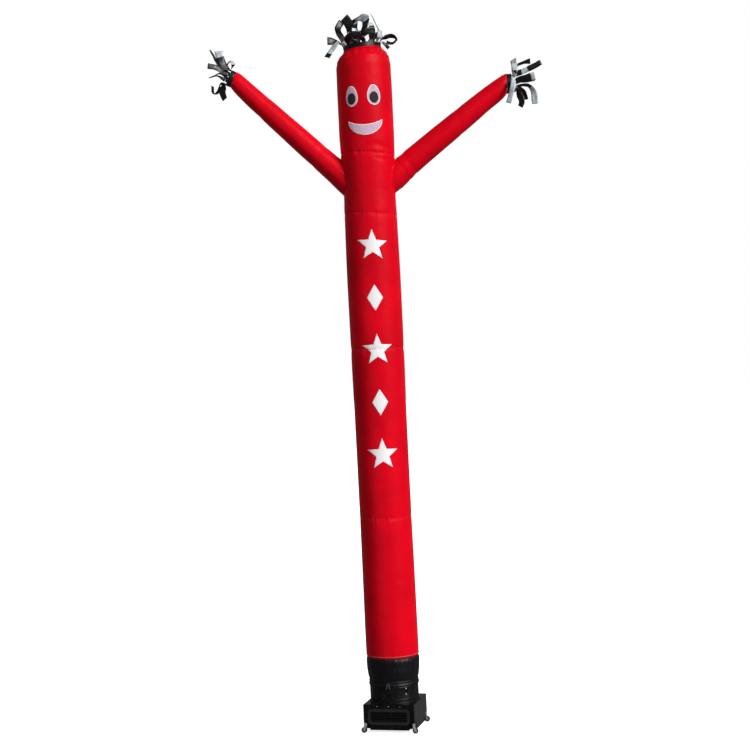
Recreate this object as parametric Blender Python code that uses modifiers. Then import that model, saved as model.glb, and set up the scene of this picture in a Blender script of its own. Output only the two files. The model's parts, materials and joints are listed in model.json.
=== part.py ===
"""An inflatable air dancer standing on its blower.

A tall tube of nylon, with a face, two raised arms and streamers round its three
vents, is tied to the outlet of a square sheet-metal blower on four swivel
casters. Units are metres, +Z is up, the face looks towards -Y and the
wheels stand on Z = 0. Left and right are a viewer's, who faces the smile.
"""

import math
from collections import namedtuple

import bmesh
import bpy
from mathutils import Matrix, Vector

# The tube's and the blower's upright axis, off the middle of the object's box
# because the right arm reaches further.
BASE_X = -0.112

# Cloth
CLOTH = 0.0012  # thickness of the inflated nylon
PATCH = 0.001  # thickness of what is sewn flat on it
TAPE = 0.002  # thickness of the tie
GAP = 0.0003  # between pieces that touch
LIFT = 0.0005  # between a sewn piece and the round of the tube
SIDES = 32  # flat sides round the tube, the collar and the outlet
SLEEVE_SIDES = 20
PLEATS = SIDES // 2
ROW = 0.34  # most height between two rows of a panel

# Heights of the seams, from the hem of the collar to the head's vent
HEM = 0.405
COLLAR_SEAM = 0.640
LOWER_SEAM = 1.865
MIDDLE_SEAM = 3.347
UPPER_SEAM = 4.531
NECK_SEAM = 5.058
CROWN = 5.985

TIE_HEIGHT = 0.435
TIE_WIDTH = 0.016
CROWN_TILT = 0.08  # the vent's right side stands higher
CROWN_TILT_FROM = 5.72

Station = namedtuple("Station", "height radius row")
STATIONS = (
    Station(HEM, 0.2205, True),
    Station(0.425, 0.2163, True),
    Station(0.447, 0.2163, True),
    Station(0.470, 0.2205, True),
    Station(0.540, 0.2270, True),
    Station(COLLAR_SEAM, 0.2315, False),
    Station(1.300, 0.2300, False),
    Station(LOWER_SEAM, 0.2270, False),
    Station(2.700, 0.2280, False),
    Station(MIDDLE_SEAM, 0.2330, False),
    Station(4.050, 0.2345, False),
    Station(UPPER_SEAM, 0.2300, False),
    Station(4.700, 0.2260, True),
    Station(NECK_SEAM, 0.2370, False),
    Station(5.250, 0.2410, False),
    Station(5.600, 0.2410, False),
    Station(5.835, 0.2385, True),
    Station(5.900, 0.2290, True),
    Station(5.942, 0.2110, True),
    Station(5.969, 0.1850, True),
    Station(CROWN, 0.1680, False),
)

# Where the cloth is drawn in: all round at a seam, part way round at a crease.
Crease = namedtuple("Crease", "height reach depth facing span")
CREASES = (
    Crease(COLLAR_SEAM, 0.020, 0.0030, 0, 360),
    Crease(1.318, 0.022, 0.0035, 40, 120),
    Crease(LOWER_SEAM, 0.020, 0.0025, 0, 360),
    Crease(MIDDLE_SEAM, 0.020, 0.0030, 0, 360),
    Crease(UPPER_SEAM, 0.020, 0.0035, 0, 360),
    Crease(NECK_SEAM, 0.022, 0.0045, 0, 360),
    Crease(5.118, 0.020, 0.0060, 25, 110),
)

# Gathers, where alternate columns stand in and out.
Gather = namedtuple("Gather", "height reach depth")
GATHERS = (
    Gather(0.505, 0.022, 0.0022),
    Gather(5.957, 0.030, 0.0035),
)

# A sleeve runs from the tube's side to its hand; slant turns the hand's mouth.
Sleeve = namedtuple("Sleeve", "name root hand root_radius hand_radius slant")
SLEEVES = (
    Sleeve("left", (-0.217, 4.870), (-1.148, 5.786), 0.110, 0.070, 0.34),
    Sleeve("right", (0.232, 4.870), (1.254, 5.631), 0.114, 0.070, 0.78),
)
SLEEVE_INSET = 0.20  # how far a sleeve starts inside the tube, before it is trimmed
SLEEVE_FLARE = 0.010  # how much wider it is where it is sewn in
SLEEVE_FLARE_REACH = 0.10
SLEEVE_ROW = 0.17
SleeveCrease = namedtuple("SleeveCrease", "sleeve along reach depth")
SLEEVE_CREASES = (
    SleeveCrease("right", 0.16, 0.025, 0.0045),
    SleeveCrease("right", 0.74, 0.030, 0.0025),
    SleeveCrease("left", 0.30, 0.030, 0.0030),
    SleeveCrease("left", 0.95, 0.030, 0.0025),
)

# Face
FACE_TURN = -4.4  # degrees, towards -X
EYE_TURN = 23.2
EYE_HEIGHT = 5.553
EYE_SIZE = (0.060, 0.090)  # half across, half up
EYE_EGG = 0.16  # how much narrower the top of an eye is
PUPIL_SIZE = (0.039, 0.050)
PUPIL_DROP = 0.022
FACE_TILT = 1.0  # degrees that the face is turned in its own plane
SMILE_HEIGHT = 5.300
SMILE_FACING = -2.0
SMILE_HALF = 0.159
SMILE_RISE = 0.041
SMILE_DEPTH = 0.094
OUTLINE_POINTS = 20

# Plain shapes down the front
Shape = namedtuple("Shape", "name height points outer inner")
SHAPES = (
    Shape("star_top", 4.250, 5, 0.140, 0.060),
    Shape("diamond_upper", 3.795, 2, 0.115, 0.070),
    Shape("star_middle", 3.340, 5, 0.140, 0.060),
    Shape("diamond_lower", 2.885, 2, 0.115, 0.070),
    Shape("star_bottom", 2.430, 5, 0.140, 0.060),
)
FACET = 360 / SIDES

# Streamers. A band leaves its vent's strip and runs through its points, each
# (across, back, up, turn) from the middle of the vent; turn is how far the band
# is turned from showing its breadth to the front. The crown's bands start at the
# front and go round towards +X, the left hand's go up and the right hand's down.
Band = namedtuple("Band", "width points")
STRIP = 0.0015
CROWN_STRIP = 0.045
HAND_STRIP = 0.042
CROWN_BANDS = (
    Band(
        0.060,
        ((-0.005, -0.210, 0.075, 20), (0.040, -0.240, 0.120, 20), (0.110, -0.220, 0.125, 10)),
    ),
    Band(
        0.050,
        ((0.080, -0.160, 0.090, 30), (0.100, -0.160, 0.150, 30), (0.070, -0.140, 0.210, 30)),
    ),
    Band(0.040, ((0.150, -0.140, 0.080, 30), (0.155, -0.130, 0.155, 20))),
    Band(
        0.048,
        (
            (0.200, -0.050, 0.095, 40), (0.260, -0.030, 0.115, 50), (0.305, -0.010, 0.085, 70),
            (0.265, 0.000, 0.050, 50), (0.215, -0.010, 0.065, 40),
        ),
    ),
    Band(0.055, ((0.175, 0.040, 0.110, 60), (0.160, 0.040, 0.175, 75), (0.085, 0.020, 0.330, 80))),
    Band(0.034, ((0.180, 0.140, 0.100, 20), (0.235, 0.160, 0.045, 10))),
    Band(0.055, ((0.085, 0.200, 0.135, 40), (0.130, 0.240, 0.185, 30), (0.180, 0.260, 0.195, 20))),
    Band(
        0.080,
        (
            (-0.040, 0.220, 0.200, 60), (-0.055, 0.200, 0.295, 60), (-0.030, 0.130, 0.325, 10),
            (0.035, 0.050, 0.300, 10), (0.040, -0.010, 0.240, 50), (0.005, -0.020, 0.155, 50),
        ),
    ),
    Band(
        0.080,
        ((-0.095, 0.130, 0.150, 20), (-0.100, 0.080, 0.240, 8), (-0.150, 0.030, 0.310, 0)),
    ),
    Band(
        0.058,
        ((-0.175, 0.100, 0.140, 20), (-0.215, 0.140, 0.230, 10), (-0.175, 0.180, 0.305, 30)),
    ),
    Band(0.070, ((-0.225, 0.060, 0.100, 10), (-0.305, 0.030, 0.110, 0))),
    Band(
        0.056,
        ((-0.215, -0.050, 0.075, 40), (-0.260, -0.080, 0.010, 30), (-0.315, -0.110, -0.065, 30)),
    ),
    Band(
        0.055,
        ((-0.135, -0.170, 0.080, 30), (-0.080, -0.200, 0.110, 20), (-0.015, -0.170, 0.110, 20)),
    ),
    Band(0.042, ((-0.065, -0.145, 0.100, 30), (-0.065, -0.130, 0.175, 20))),
)
LEFT_BANDS = (
    Band(
        0.052,
        ((-0.085, -0.100, 0.050, 30), (-0.130, -0.120, 0.090, 20), (-0.210, -0.140, 0.105, 5)),
    ),
    Band(
        0.075,
        ((-0.075, -0.050, 0.120, 30), (-0.110, -0.040, 0.200, 5), (-0.115, -0.030, 0.255, 10)),
    ),
    Band(
        0.045,
        ((0.005, -0.010, 0.135, 50), (-0.025, 0.010, 0.170, 60), (-0.065, 0.030, 0.130, 50)),
    ),
    Band(
        0.042,
        ((-0.110, 0.050, 0.125, 40), (-0.150, 0.060, 0.185, 50), (-0.200, 0.050, 0.285, 75)),
    ),
    Band(0.040, ((-0.110, 0.110, 0.090, 50), (-0.200, 0.150, 0.065, 60))),
    Band(
        0.038,
        (
            (-0.130, 0.080, -0.010, 30), (-0.145, 0.110, -0.075, 30), (-0.195, 0.110, -0.095, 45),
            (-0.205, 0.130, -0.020, 60),
        ),
    ),
    Band(
        0.060,
        ((-0.100, 0.010, -0.070, 20), (-0.105, 0.000, -0.115, 15), (-0.085, -0.010, -0.170, 40)),
    ),
    Band(
        0.034,
        ((-0.095, -0.080, 0.000, 50), (-0.135, -0.110, 0.025, 50), (-0.200, -0.130, 0.000, 60)),
    ),
)
RIGHT_BANDS = (
    Band(
        0.046,
        ((0.055, -0.120, 0.015, 35), (0.030, -0.150, -0.085, 30), (-0.005, -0.150, -0.195, 20)),
    ),
    Band(
        0.053,
        (
            (0.075, -0.080, -0.070, 35), (0.100, -0.100, -0.120, 25), (0.115, -0.110, -0.175, 20),
            (0.100, -0.100, -0.225, 40),
        ),
    ),
    Band(
        0.055,
        (
            (0.090, 0.010, -0.025, 60), (0.185, 0.000, -0.015, 75), (0.235, 0.000, -0.075, 20),
            (0.245, 0.010, -0.185, 5),
        ),
    ),
    Band(
        0.045,
        ((0.105, 0.080, -0.025, 40), (0.165, 0.140, -0.055, 30), (0.185, 0.170, -0.115, 30)),
    ),
    Band(0.078, ((0.120, 0.090, 0.050, 50), (0.190, 0.080, 0.055, 40), (0.260, 0.070, 0.070, 5))),
    Band(0.050, ((0.100, 0.060, 0.100, 30), (0.200, 0.070, 0.130, 20), (0.320, 0.070, 0.190, 5))),
    Band(0.055, ((0.080, 0.020, 0.145, 60), (0.145, 0.030, 0.185, 80), (0.225, 0.040, 0.200, 5))),
    Band(
        0.058,
        ((0.070, -0.075, 0.100, 20), (0.065, -0.085, 0.160, 15), (0.055, -0.120, 0.190, 10)),
    ),
)
SPAN_STEPS = 2
BAND_STUB = 0.018  # how far a band goes straight on from the strip
BAND_SPREAD = 0.30  # share of its length over which a band opens to its width
MOST_TWIST = 28.0  # degrees in one step

# Tie
TIE_FACING = -14.0
KNOT_SIZE = (0.013, 0.008, 0.010)
TAIL_LENGTH = 0.052
TAIL_SPLAY = 13.0

# Blower, turned against the face
BLOWER_TURN = -15.5
BOX = 0.460
BOX_BOTTOM = 0.0303
BOX_TOP = 0.2515
SHEET = 0.0018
EDGE_ROUND = 0.004
WELL = 0.0555  # square space for a caster at each corner
BASE_TOP = 0.090
PAN_BOTTOM = 0.0285
PAN_SHEET = 0.0015
OUTLET_RADIUS = 0.2145
OUTLET_TOP = 0.465
OUTLET_FLANGE = 0.2255
OUTLET_SHEET = 0.0015
LOUVRE_SIZE = (0.374, 0.138)
LOUVRE_BORDER = 0.012
LOUVRE_THICK = 0.003
LOUVRE_HEIGHT = 0.144
LOUVRE_ROUND = 0.030
SLATS = 6
SLAT_WIDTH = 0.020
SLAT_THICK = 0.0016
SLAT_ANGLE = 42.0
SCREW_RADIUS = 0.0045
SCREW_SPACING = 0.104
SCREW_BELOW_TOP = 0.018
RIVET_RADIUS = 0.0062
RIVET_FACING = 2.5 * 360 / SIDES  # the middle of one of the outlet's sides
RIVET_HEIGHTS = (0.328, 0.378)
GLAND_PLACE = (0.140, 0.090)

# Casters
AXIS_INSET = 0.217  # from the blower's axis to a swivel axis, across and along
TRAIL = 0.014
WHEEL_RADIUS = 0.025
WHEEL_SIDES = 24
WHEEL_HALF = 0.008
HUB_HALF = 0.0095
AXLE_RADIUS = 0.003
BORE_RADIUS = 0.0034
CUP_RADIUS = 0.014
CROWN_TOP = 0.0655
CROWN_THICK = 0.003
LEG_HALF = 0.0105  # inside half width between a fork's legs
LEG_THICK = 0.002
KINGPIN_RADIUS = 0.005
KINGPIN_CLEAR = 0.0006
Caster = namedtuple("Caster", "name x y swivel")
CASTERS = (
    Caster("front_left", -1, -1, 176.0),
    Caster("front_right", 1, -1, 22.0),
    Caster("back_left", -1, 1, 205.0),
    Caster("back_right", 1, 1, 8.0),
)

Finish = namedtuple("Finish", "colour roughness metallic")
FINISHES = {
    "red_nylon": Finish((0.72, 0.005, 0.020), 0.42, 0.0),
    "black_nylon": Finish((0.012, 0.012, 0.014), 0.48, 0.0),
    "streamer_cloth": Finish((0.020, 0.021, 0.024), 0.35, 0.0),
    "white_cloth": Finish((0.86, 0.85, 0.87), 0.55, 0.0),
    "pupil_cloth": Finish((0.015, 0.015, 0.016), 0.50, 0.0),
    "black_steel": Finish((0.016, 0.016, 0.018), 0.34, 0.0),
    "bright_rivet": Finish((0.78, 0.78, 0.78), 0.30, 1.0),
    "zinc_steel": Finish((0.45, 0.45, 0.46), 0.35, 1.0),
    "black_rubber": Finish((0.020, 0.020, 0.021), 0.60, 0.0),
}

BACK = Vector((0.0, 1.0, 0.0))
PARTS = "inflatable_air_dancer"
CUTTERS = "cutters"


def clear_scene():
    for obj in list(bpy.data.objects):
        bpy.data.objects.remove(obj, do_unlink=True)
    for name in (PARTS, CUTTERS):
        collection = bpy.data.collections.new(name)
        bpy.context.scene.collection.children.link(collection)


def make_materials():
    for name, finish in FINISHES.items():
        material = bpy.data.materials.new(name)
        material.use_nodes = True
        shader = material.node_tree.nodes["Principled BSDF"]
        shader.inputs["Base Color"].default_value = (*finish.colour, 1.0)
        shader.inputs["Roughness"].default_value = finish.roughness
        shader.inputs["Metallic"].default_value = finish.metallic
        material.diffuse_color = (*finish.colour, 1.0)


def add_part(name, mesh, finish, parent):
    """A sub-part, shaded smooth across its soft edges."""
    obj = bpy.data.objects.new(name, mesh)
    bpy.data.collections[PARTS].objects.link(obj)
    mesh.materials.append(bpy.data.materials[finish])
    mesh.shade_smooth()
    mesh.set_sharp_from_angle(angle=math.radians(35))
    obj.parent = parent
    return obj


def add_cutter(name, mesh, parent):
    obj = bpy.data.objects.new(name, mesh)
    bpy.data.collections[CUTTERS].objects.link(obj)
    obj.hide_render = True
    obj.display_type = "WIRE"
    obj.parent = parent
    return obj


def add_empty(name, parent, location, turn=0.0):
    """A frame that carries parts, turned about its upright axis by degrees."""
    empty = bpy.data.objects.new(name, None)
    bpy.data.collections[PARTS].objects.link(empty)
    empty.parent = parent
    empty.location = location
    empty.rotation_euler.z = math.radians(turn)
    return empty


def mesh_from(bm, name):
    mesh = bpy.data.meshes.new(name)
    bm.to_mesh(mesh)
    bm.free()
    return mesh


def solidify(obj, thickness, offset):
    """Gives an open surface its wall: offset -1 inwards, 1 outwards."""
    wall = obj.modifiers.new("Wall", "SOLIDIFY")
    wall.thickness = thickness
    wall.offset = offset
    wall.use_even_offset = True


def cut(obj, cutter, operation="DIFFERENCE"):
    boolean = obj.modifiers.new(cutter.name, "BOOLEAN")
    boolean.operation = operation
    boolean.object = cutter


def box_mesh(name, size, centre, turn=None):
    """A box of this size, turned about its own middle before it is placed."""
    bm = bmesh.new()
    bmesh.ops.create_cube(bm, size=1.0)
    bmesh.ops.scale(bm, vec=size, verts=bm.verts)
    if turn:
        bmesh.ops.transform(bm, matrix=turn, verts=bm.verts)
    bmesh.ops.translate(bm, vec=centre, verts=bm.verts)
    return mesh_from(bm, name)


def rod_mesh(name, radius, length, matrix, sides):
    """A solid rod along Z, placed by a matrix."""
    bm = bmesh.new()
    bmesh.ops.create_cone(
        bm,
        cap_ends=True,
        segments=sides,
        radius1=radius,
        radius2=radius,
        depth=length,
        matrix=matrix,
    )
    return mesh_from(bm, name)


def rounded_plate(name, width, height, thickness, radius, centre):
    """An upright plate that faces -Y, with round corners."""
    bm = bmesh.new()
    bmesh.ops.create_cube(bm, size=1.0)
    bmesh.ops.scale(bm, vec=(width, thickness, height), verts=bm.verts)
    through = [e for e in bm.edges if abs(e.verts[0].co.y - e.verts[1].co.y) > thickness / 2]
    bmesh.ops.bevel(bm, geom=through, offset=radius, segments=5, profile=0.5, affect="EDGES")
    bmesh.ops.translate(bm, vec=centre, verts=bm.verts)
    return mesh_from(bm, name)


def turned_part(name, profile, steps, finish, parent, closed):
    """A turned piece: (radius, height) points that run down its outer side."""
    corners = [(radius, 0.0, height) for radius, height in profile]
    edges = [(i, i + 1) for i in range(len(corners) - 1)]
    if closed:
        edges.append((len(corners) - 1, 0))
    mesh = bpy.data.meshes.new(name)
    mesh.from_pydata(corners, edges, [])
    obj = add_part(name, mesh, finish, parent)
    screw = obj.modifiers.new("Turn", "SCREW")
    screw.steps = steps
    screw.render_steps = steps
    screw.use_merge_vertices = True
    screw.merge_threshold = 0.00001
    return obj


def smooth(part):
    """0 to 1, easing in and out."""
    part = min(max(part, 0.0), 1.0)
    return part * part * (3 - 2 * part)


# The tube


def radius_at(height):
    """The tube's radius, eased between its stations."""
    below = STATIONS[0]
    for above in STATIONS[1:]:
        if height <= above.height:
            part = smooth((height - below.height) / (above.height - below.height))
            return below.radius + (above.radius - below.radius) * part
        below = above
    return below.radius


def drawn_in(height, angle):
    """How far seams, creases and gathers draw the cloth in at a place."""
    depth = 0.0
    for crease in CREASES:
        across = math.exp(-(((height - crease.height) / crease.reach) ** 2))
        turned = abs((angle - crease.facing + 180) % 360 - 180)
        if crease.span < 360:
            across *= smooth(1.0 - 2 * turned / crease.span)
        depth += crease.depth * across
    for gather in GATHERS:
        across = math.exp(-(((height - gather.height) / gather.reach) ** 2))
        depth += gather.depth * across * (1 - math.cos(math.radians(PLEATS * angle)))
    return depth


def tube_point(height, angle, grow=0.0, creased=True):
    """A point of the tube's outside; angle is in degrees, 0 at the front."""
    radius = radius_at(height) + grow
    if creased:
        radius -= drawn_in(height, angle)
    across = radius * math.sin(math.radians(angle))
    back = -radius * math.cos(math.radians(angle))
    tilt = CROWN_TILT * smooth((height - CROWN_TILT_FROM) / (CROWN - CROWN_TILT_FROM))
    return Vector((across, back, height + tilt * across))


def panel_rows(low, high):
    """The heights of a panel's rows: its edges, its creases, and plain rows between."""
    marks = {low, high}
    for crease in CREASES:
        marks |= {crease.height - crease.reach, crease.height, crease.height + crease.reach}
    marks |= {station.height for station in STATIONS if station.row}
    marks = sorted(mark for mark in marks if low <= mark <= high)
    rows = [low]
    for mark in marks[1:]:
        start = rows[-1]
        count = math.ceil((mark - start) / ROW)
        rows += [start + (mark - start) * (i + 1) / count for i in range(count)]
    return rows


def tube_mesh(name, rows, place, sides, capped=False):
    """A tube with a ring of corners for each row; place(row, angle) puts each corner."""
    bm = bmesh.new()
    bmesh.ops.create_cone(
        bm, cap_ends=capped, segments=sides, radius1=1.0, radius2=1.0, depth=1.0
    )
    upright = [e for e in bm.edges if abs(e.verts[0].co.z - e.verts[1].co.z) > 0.5]
    if len(rows) > 2:
        bmesh.ops.subdivide_edges(bm, edges=upright, cuts=len(rows) - 2)
    for vert in bm.verts:
        row = rows[round((vert.co.z + 0.5) * (len(rows) - 1))]
        angle = math.degrees(math.atan2(vert.co.x, -vert.co.y))
        vert.co = place(row, angle)
    return mesh_from(bm, name)


def add_panel(name, low, high, finish, parent):
    """One panel of the tube, a hair short of the seam at each end."""
    rows = panel_rows(low + GAP / 2, high - GAP / 2)
    panel = add_part(name, tube_mesh(name, rows, tube_point, SIDES), finish, parent)
    solidify(panel, CLOTH, -1)
    return panel


# The arms


def sleeve_frame(sleeve):
    """(root, outward direction, upward direction, length) of a sleeve."""
    root = Vector((sleeve.root[0], 0.0, sleeve.root[1]))
    reach = Vector((sleeve.hand[0], 0.0, sleeve.hand[1])) - root
    out = reach.normalized()
    up = Vector((0.0, 0.0, 1.0)) - out * out.z
    return root, out, up.normalized(), reach.length


def sleeve_radius(sleeve, along, length):
    radius = sleeve.root_radius
    radius += (sleeve.hand_radius - sleeve.root_radius) * max(along, 0.0) / length
    radius += SLEEVE_FLARE * math.exp(-max(along, 0.0) / SLEEVE_FLARE_REACH)
    for crease in SLEEVE_CREASES:
        if crease.sleeve == sleeve.name:
            across = math.exp(-(((along - crease.along) / crease.reach) ** 2))
            radius -= crease.depth * across
    return radius


def sleeve_placer(sleeve, grow=0.0):
    """The function that puts a corner of this sleeve: metres along it, degrees round it."""
    root, out, up, length = sleeve_frame(sleeve)
    side = out.cross(up)

    def place(along, angle):
        radius = sleeve_radius(sleeve, along, length) + grow
        turn = math.radians(angle)
        slant = sleeve.slant * smooth(along / length) * radius * math.cos(turn)
        around = up * math.cos(turn) + side * math.sin(turn)
        return root + out * (along + slant) + around * radius

    return place


def sleeve_rows(sleeve):
    length = sleeve_frame(sleeve)[3]
    marks = [-SLEEVE_INSET, 0.0, length]
    for crease in SLEEVE_CREASES:
        if crease.sleeve == sleeve.name:
            marks += [crease.along - crease.reach, crease.along, crease.along + crease.reach]
    marks.sort()
    rows = marks[:1]
    for mark in marks[1:]:
        start = rows[-1]
        count = math.ceil((mark - start) / SLEEVE_ROW)
        rows += [start + (mark - start) * (i + 1) / count for i in range(count)]
    return rows


def add_sleeve(sleeve, tube_volume, parent):
    """A sleeve, trimmed where it meets the outside of the tube."""
    name = sleeve.name + "_arm"
    mesh = tube_mesh(name, sleeve_rows(sleeve), sleeve_placer(sleeve), SLEEVE_SIDES)
    arm = add_part(name, mesh, "red_nylon", parent)
    solidify(arm, CLOTH, -1)
    cut(arm, tube_volume)


def sleeve_bore(sleeve, parent):
    """The space inside a sleeve's root, which opens the tube's side."""
    name = sleeve.name + "_arm_bore"
    rows = [-SLEEVE_INSET, 0.0, SLEEVE_ROW]
    place = sleeve_placer(sleeve, -CLOTH)
    return add_cutter(name, tube_mesh(name, rows, place, SLEEVE_SIDES, capped=True), parent)


def add_tube(parent):
    add_panel("collar_panel", HEM, COLLAR_SEAM, "black_nylon", parent)
    add_panel("lower_panel", COLLAR_SEAM, LOWER_SEAM, "red_nylon", parent)
    add_panel("middle_panel", LOWER_SEAM, MIDDLE_SEAM, "red_nylon", parent)
    add_panel("upper_panel", MIDDLE_SEAM, UPPER_SEAM, "red_nylon", parent)
    shoulders = add_panel("shoulder_panel", UPPER_SEAM, NECK_SEAM, "red_nylon", parent)
    add_panel("head_panel", NECK_SEAM, CROWN, "red_nylon", parent)

    def grown(height, angle):
        return tube_point(height, angle, grow=GAP)

    rows = panel_rows(UPPER_SEAM + GAP / 2, NECK_SEAM - GAP / 2)
    volume = tube_mesh("tube_volume", rows, grown, SIDES, capped=True)
    tube_volume = add_cutter("tube_volume", volume, parent)
    for sleeve in SLEEVES:
        cut(shoulders, sleeve_bore(sleeve, parent))
        add_sleeve(sleeve, tube_volume, parent)


# What is sewn flat on the tube


def facet_point(height, angle, lift):
    """A point this far off the flat side of the tube that lies at this angle."""
    from_middle = angle % FACET - FACET / 2
    flat = math.cos(math.radians(FACET / 2)) / math.cos(math.radians(from_middle))
    grow = radius_at(height) * (flat - 1) + lift
    return tube_point(height, angle, grow=grow, creased=False)


def add_patch(name, outline, height, facing, finish, parent, lift=LIFT):
    """A flat piece laid round the tube: its outline is in metres across and up."""
    radius = radius_at(height)
    bm = bmesh.new()
    bm.faces.new([bm.verts.new((across, 0.0, up)) for across, up in outline])
    for i in range(-SIDES // 2, SIDES // 2):
        bend_line(bm, radius * math.radians(i * FACET - facing))
    for vert in bm.verts:
        angle = facing + math.degrees(vert.co.x / radius)
        vert.co = facet_point(height + vert.co.z, angle, lift)
    patch = add_part(name, mesh_from(bm, name), finish, parent)
    solidify(patch, PATCH, 1)


def bend_line(bm, across):
    """Cuts the flat piece's faces along an upright line, so that it can bend there."""
    everything = bm.verts[:] + bm.edges[:] + bm.faces[:]
    bmesh.ops.bisect_plane(
        bm, geom=everything, dist=0.0004, plane_co=(across, 0.0, 0.0), plane_no=(1.0, 0.0, 0.0)
    )


def turned_outline(points, tilt):
    """The outline turned in its own plane, its right side up."""
    turn = math.radians(tilt)
    return [
        (x * math.cos(turn) - z * math.sin(turn), x * math.sin(turn) + z * math.cos(turn))
        for x, z in points
    ]


def oval(half_across, half_up, egg=0.0):
    """An oval, narrower at its top by the egg share."""
    points = []
    for i in range(OUTLINE_POINTS):
        turn = 2 * math.pi * i / OUTLINE_POINTS
        across = half_across * math.cos(turn) * (1 - egg * math.sin(turn))
        points.append((across, half_up * math.sin(turn)))
    return points


def smile():
    """A crescent with blunt ends: the upper edge sags a little, the lower one more."""
    half = OUTLINE_POINTS // 2
    lower, upper = [], []
    for i in range(half + 1):
        part = math.cos(math.pi * i / half)
        lift = SMILE_RISE * part * part
        lower.append((-SMILE_HALF * part, lift - SMILE_DEPTH * math.sqrt(1 - part * part)))
        upper.append((SMILE_HALF * part, lift))
    return lower + upper[1:-1]


def star(points, outer, inner):
    """A star, or a diamond when it has two points."""
    outline = []
    for i in range(2 * points):
        turn = math.pi * i / points + math.pi / 2
        reach = inner if i % 2 else outer
        outline.append((reach * math.cos(turn), reach * math.sin(turn)))
    return outline


def add_face(parent):
    head = radius_at(EYE_HEIGHT)
    for side, name in ((-1, "left"), (1, "right")):
        facing = FACE_TURN + side * EYE_TURN
        height = EYE_HEIGHT + side * head * math.sin(math.radians(EYE_TURN)) * math.tan(
            math.radians(FACE_TILT)
        )
        white = turned_outline(oval(*EYE_SIZE, EYE_EGG), FACE_TILT)
        add_patch(name + "_eye_white", white, height, facing, "white_cloth", parent)
        pupil = turned_outline(oval(*PUPIL_SIZE), FACE_TILT)
        above_white = 2 * LIFT + PATCH
        add_patch(
            name + "_pupil",
            pupil,
            height - PUPIL_DROP,
            facing,
            "pupil_cloth",
            parent,
            lift=above_white,
        )
    mouth = turned_outline(smile(), FACE_TILT)
    add_patch("smile_patch", mouth, SMILE_HEIGHT, SMILE_FACING, "white_cloth", parent)


def add_shapes(parent):
    for shape in SHAPES:
        outline = star(shape.points, shape.outer, shape.inner)
        add_patch(shape.name, outline, shape.height, 0.0, "white_cloth", parent)


# Streamers


def along_path(way, spans):
    """The place this many spans along a smooth path through the points of way."""
    first = min(max(int(spans), 0), len(way) - 2)
    t = spans - first
    before = way[max(first - 1, 0)]
    start, end = way[first], way[first + 1]
    after = way[min(first + 2, len(way) - 1)]
    bend = (2 * before - 5 * start + 4 * end - after) * t * t
    swing = (3 * start - before - 3 * end + after) * t**3
    return (2 * start + (end - before) * t + bend + swing) / 2


def band_frames(band, mouth, start, across, root_half):
    """(place, width direction, thickness direction, half width) along a band."""
    vent, out = mouth.translation, mouth.col[2].xyz
    turn = band.points[0][3]
    way = [Vector((*start, turn)), Vector((*(start + out * BAND_STUB), turn))]
    way += [Vector((*(vent + Vector(point[:3])), point[3])) for point in band.points]
    steps = SPAN_STEPS * len(band.points)
    places = [along_path(way, 1 + i / SPAN_STEPS) for i in range(steps + 1)]
    before = [way[0]] + places[:-1]
    after = places[1:] + [places[-1]]
    frames = []
    broad = across
    for i, (behind, here, ahead) in enumerate(zip(before, places, after)):
        heading = (ahead - behind).xyz.normalized()
        shown = heading.cross(BACK).normalized()
        shown.rotate(Matrix.Rotation(math.radians(here[3]), 3, heading))
        broad = (broad - heading * broad.dot(heading)).normalized()
        if shown.dot(broad) < 0:
            shown.negate()
        short = math.degrees(broad.angle(shown))
        if i:
            broad = broad.slerp(shown, min(1.0, MOST_TWIST / max(short, MOST_TWIST)))
        opened = smooth(i / steps / BAND_SPREAD)
        half = root_half + (band.width / 2 - root_half) * opened
        frames.append((here.xyz, broad, heading.cross(broad), half))
    return frames


def corners_of(face, centre, across, thick):
    """A band's end corners, by their side of its middle across and through it."""
    corners = {}
    for vert in face.verts:
        offset = vert.co - centre
        side = (offset.dot(across) > 0, offset.dot(thick) > 0)
        corners[side] = vert
    return corners


def extrude_band(bm, face, band, mouth):
    """Pulls a band of cloth out of one facet of the strip's rim."""
    centre = face.calc_center_median()
    longest = max(face.edges, key=lambda edge: edge.calc_length())
    across = (longest.verts[1].co - longest.verts[0].co).normalized()
    thick = face.normal.cross(across)
    half = longest.calc_length() / 2
    old = corners_of(face, centre, across, thick)
    frames = band_frames(band, mouth, centre, across, half)
    for place, new_across, new_thick, new_half in frames:
        made = bmesh.ops.extrude_face_region(bm, geom=[face])["geom"]
        grown = next(item for item in made if isinstance(item, bmesh.types.BMFace))
        if face.is_valid:
            bmesh.ops.delete(bm, geom=[face], context="FACES_ONLY")
        new = corners_of(grown, centre, across, thick)
        for (right, front), vert in new.items():
            wide = new_half if right else -new_half
            deep = PATCH / 2 if front else -PATCH / 2
            vert.co = place + new_across * wide + new_thick * deep
        # The same diagonal on both sides of a twisted band keeps its thickness.
        for front in (True, False):
            start, end = old[(False, front)], new[(True, front)]
            side = next(item for item in start.link_faces if end in item.verts)
            bmesh.utils.face_split(side, start, end)
        face, old = grown, new
        centre, across, thick = place, new_across, new_thick


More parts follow.
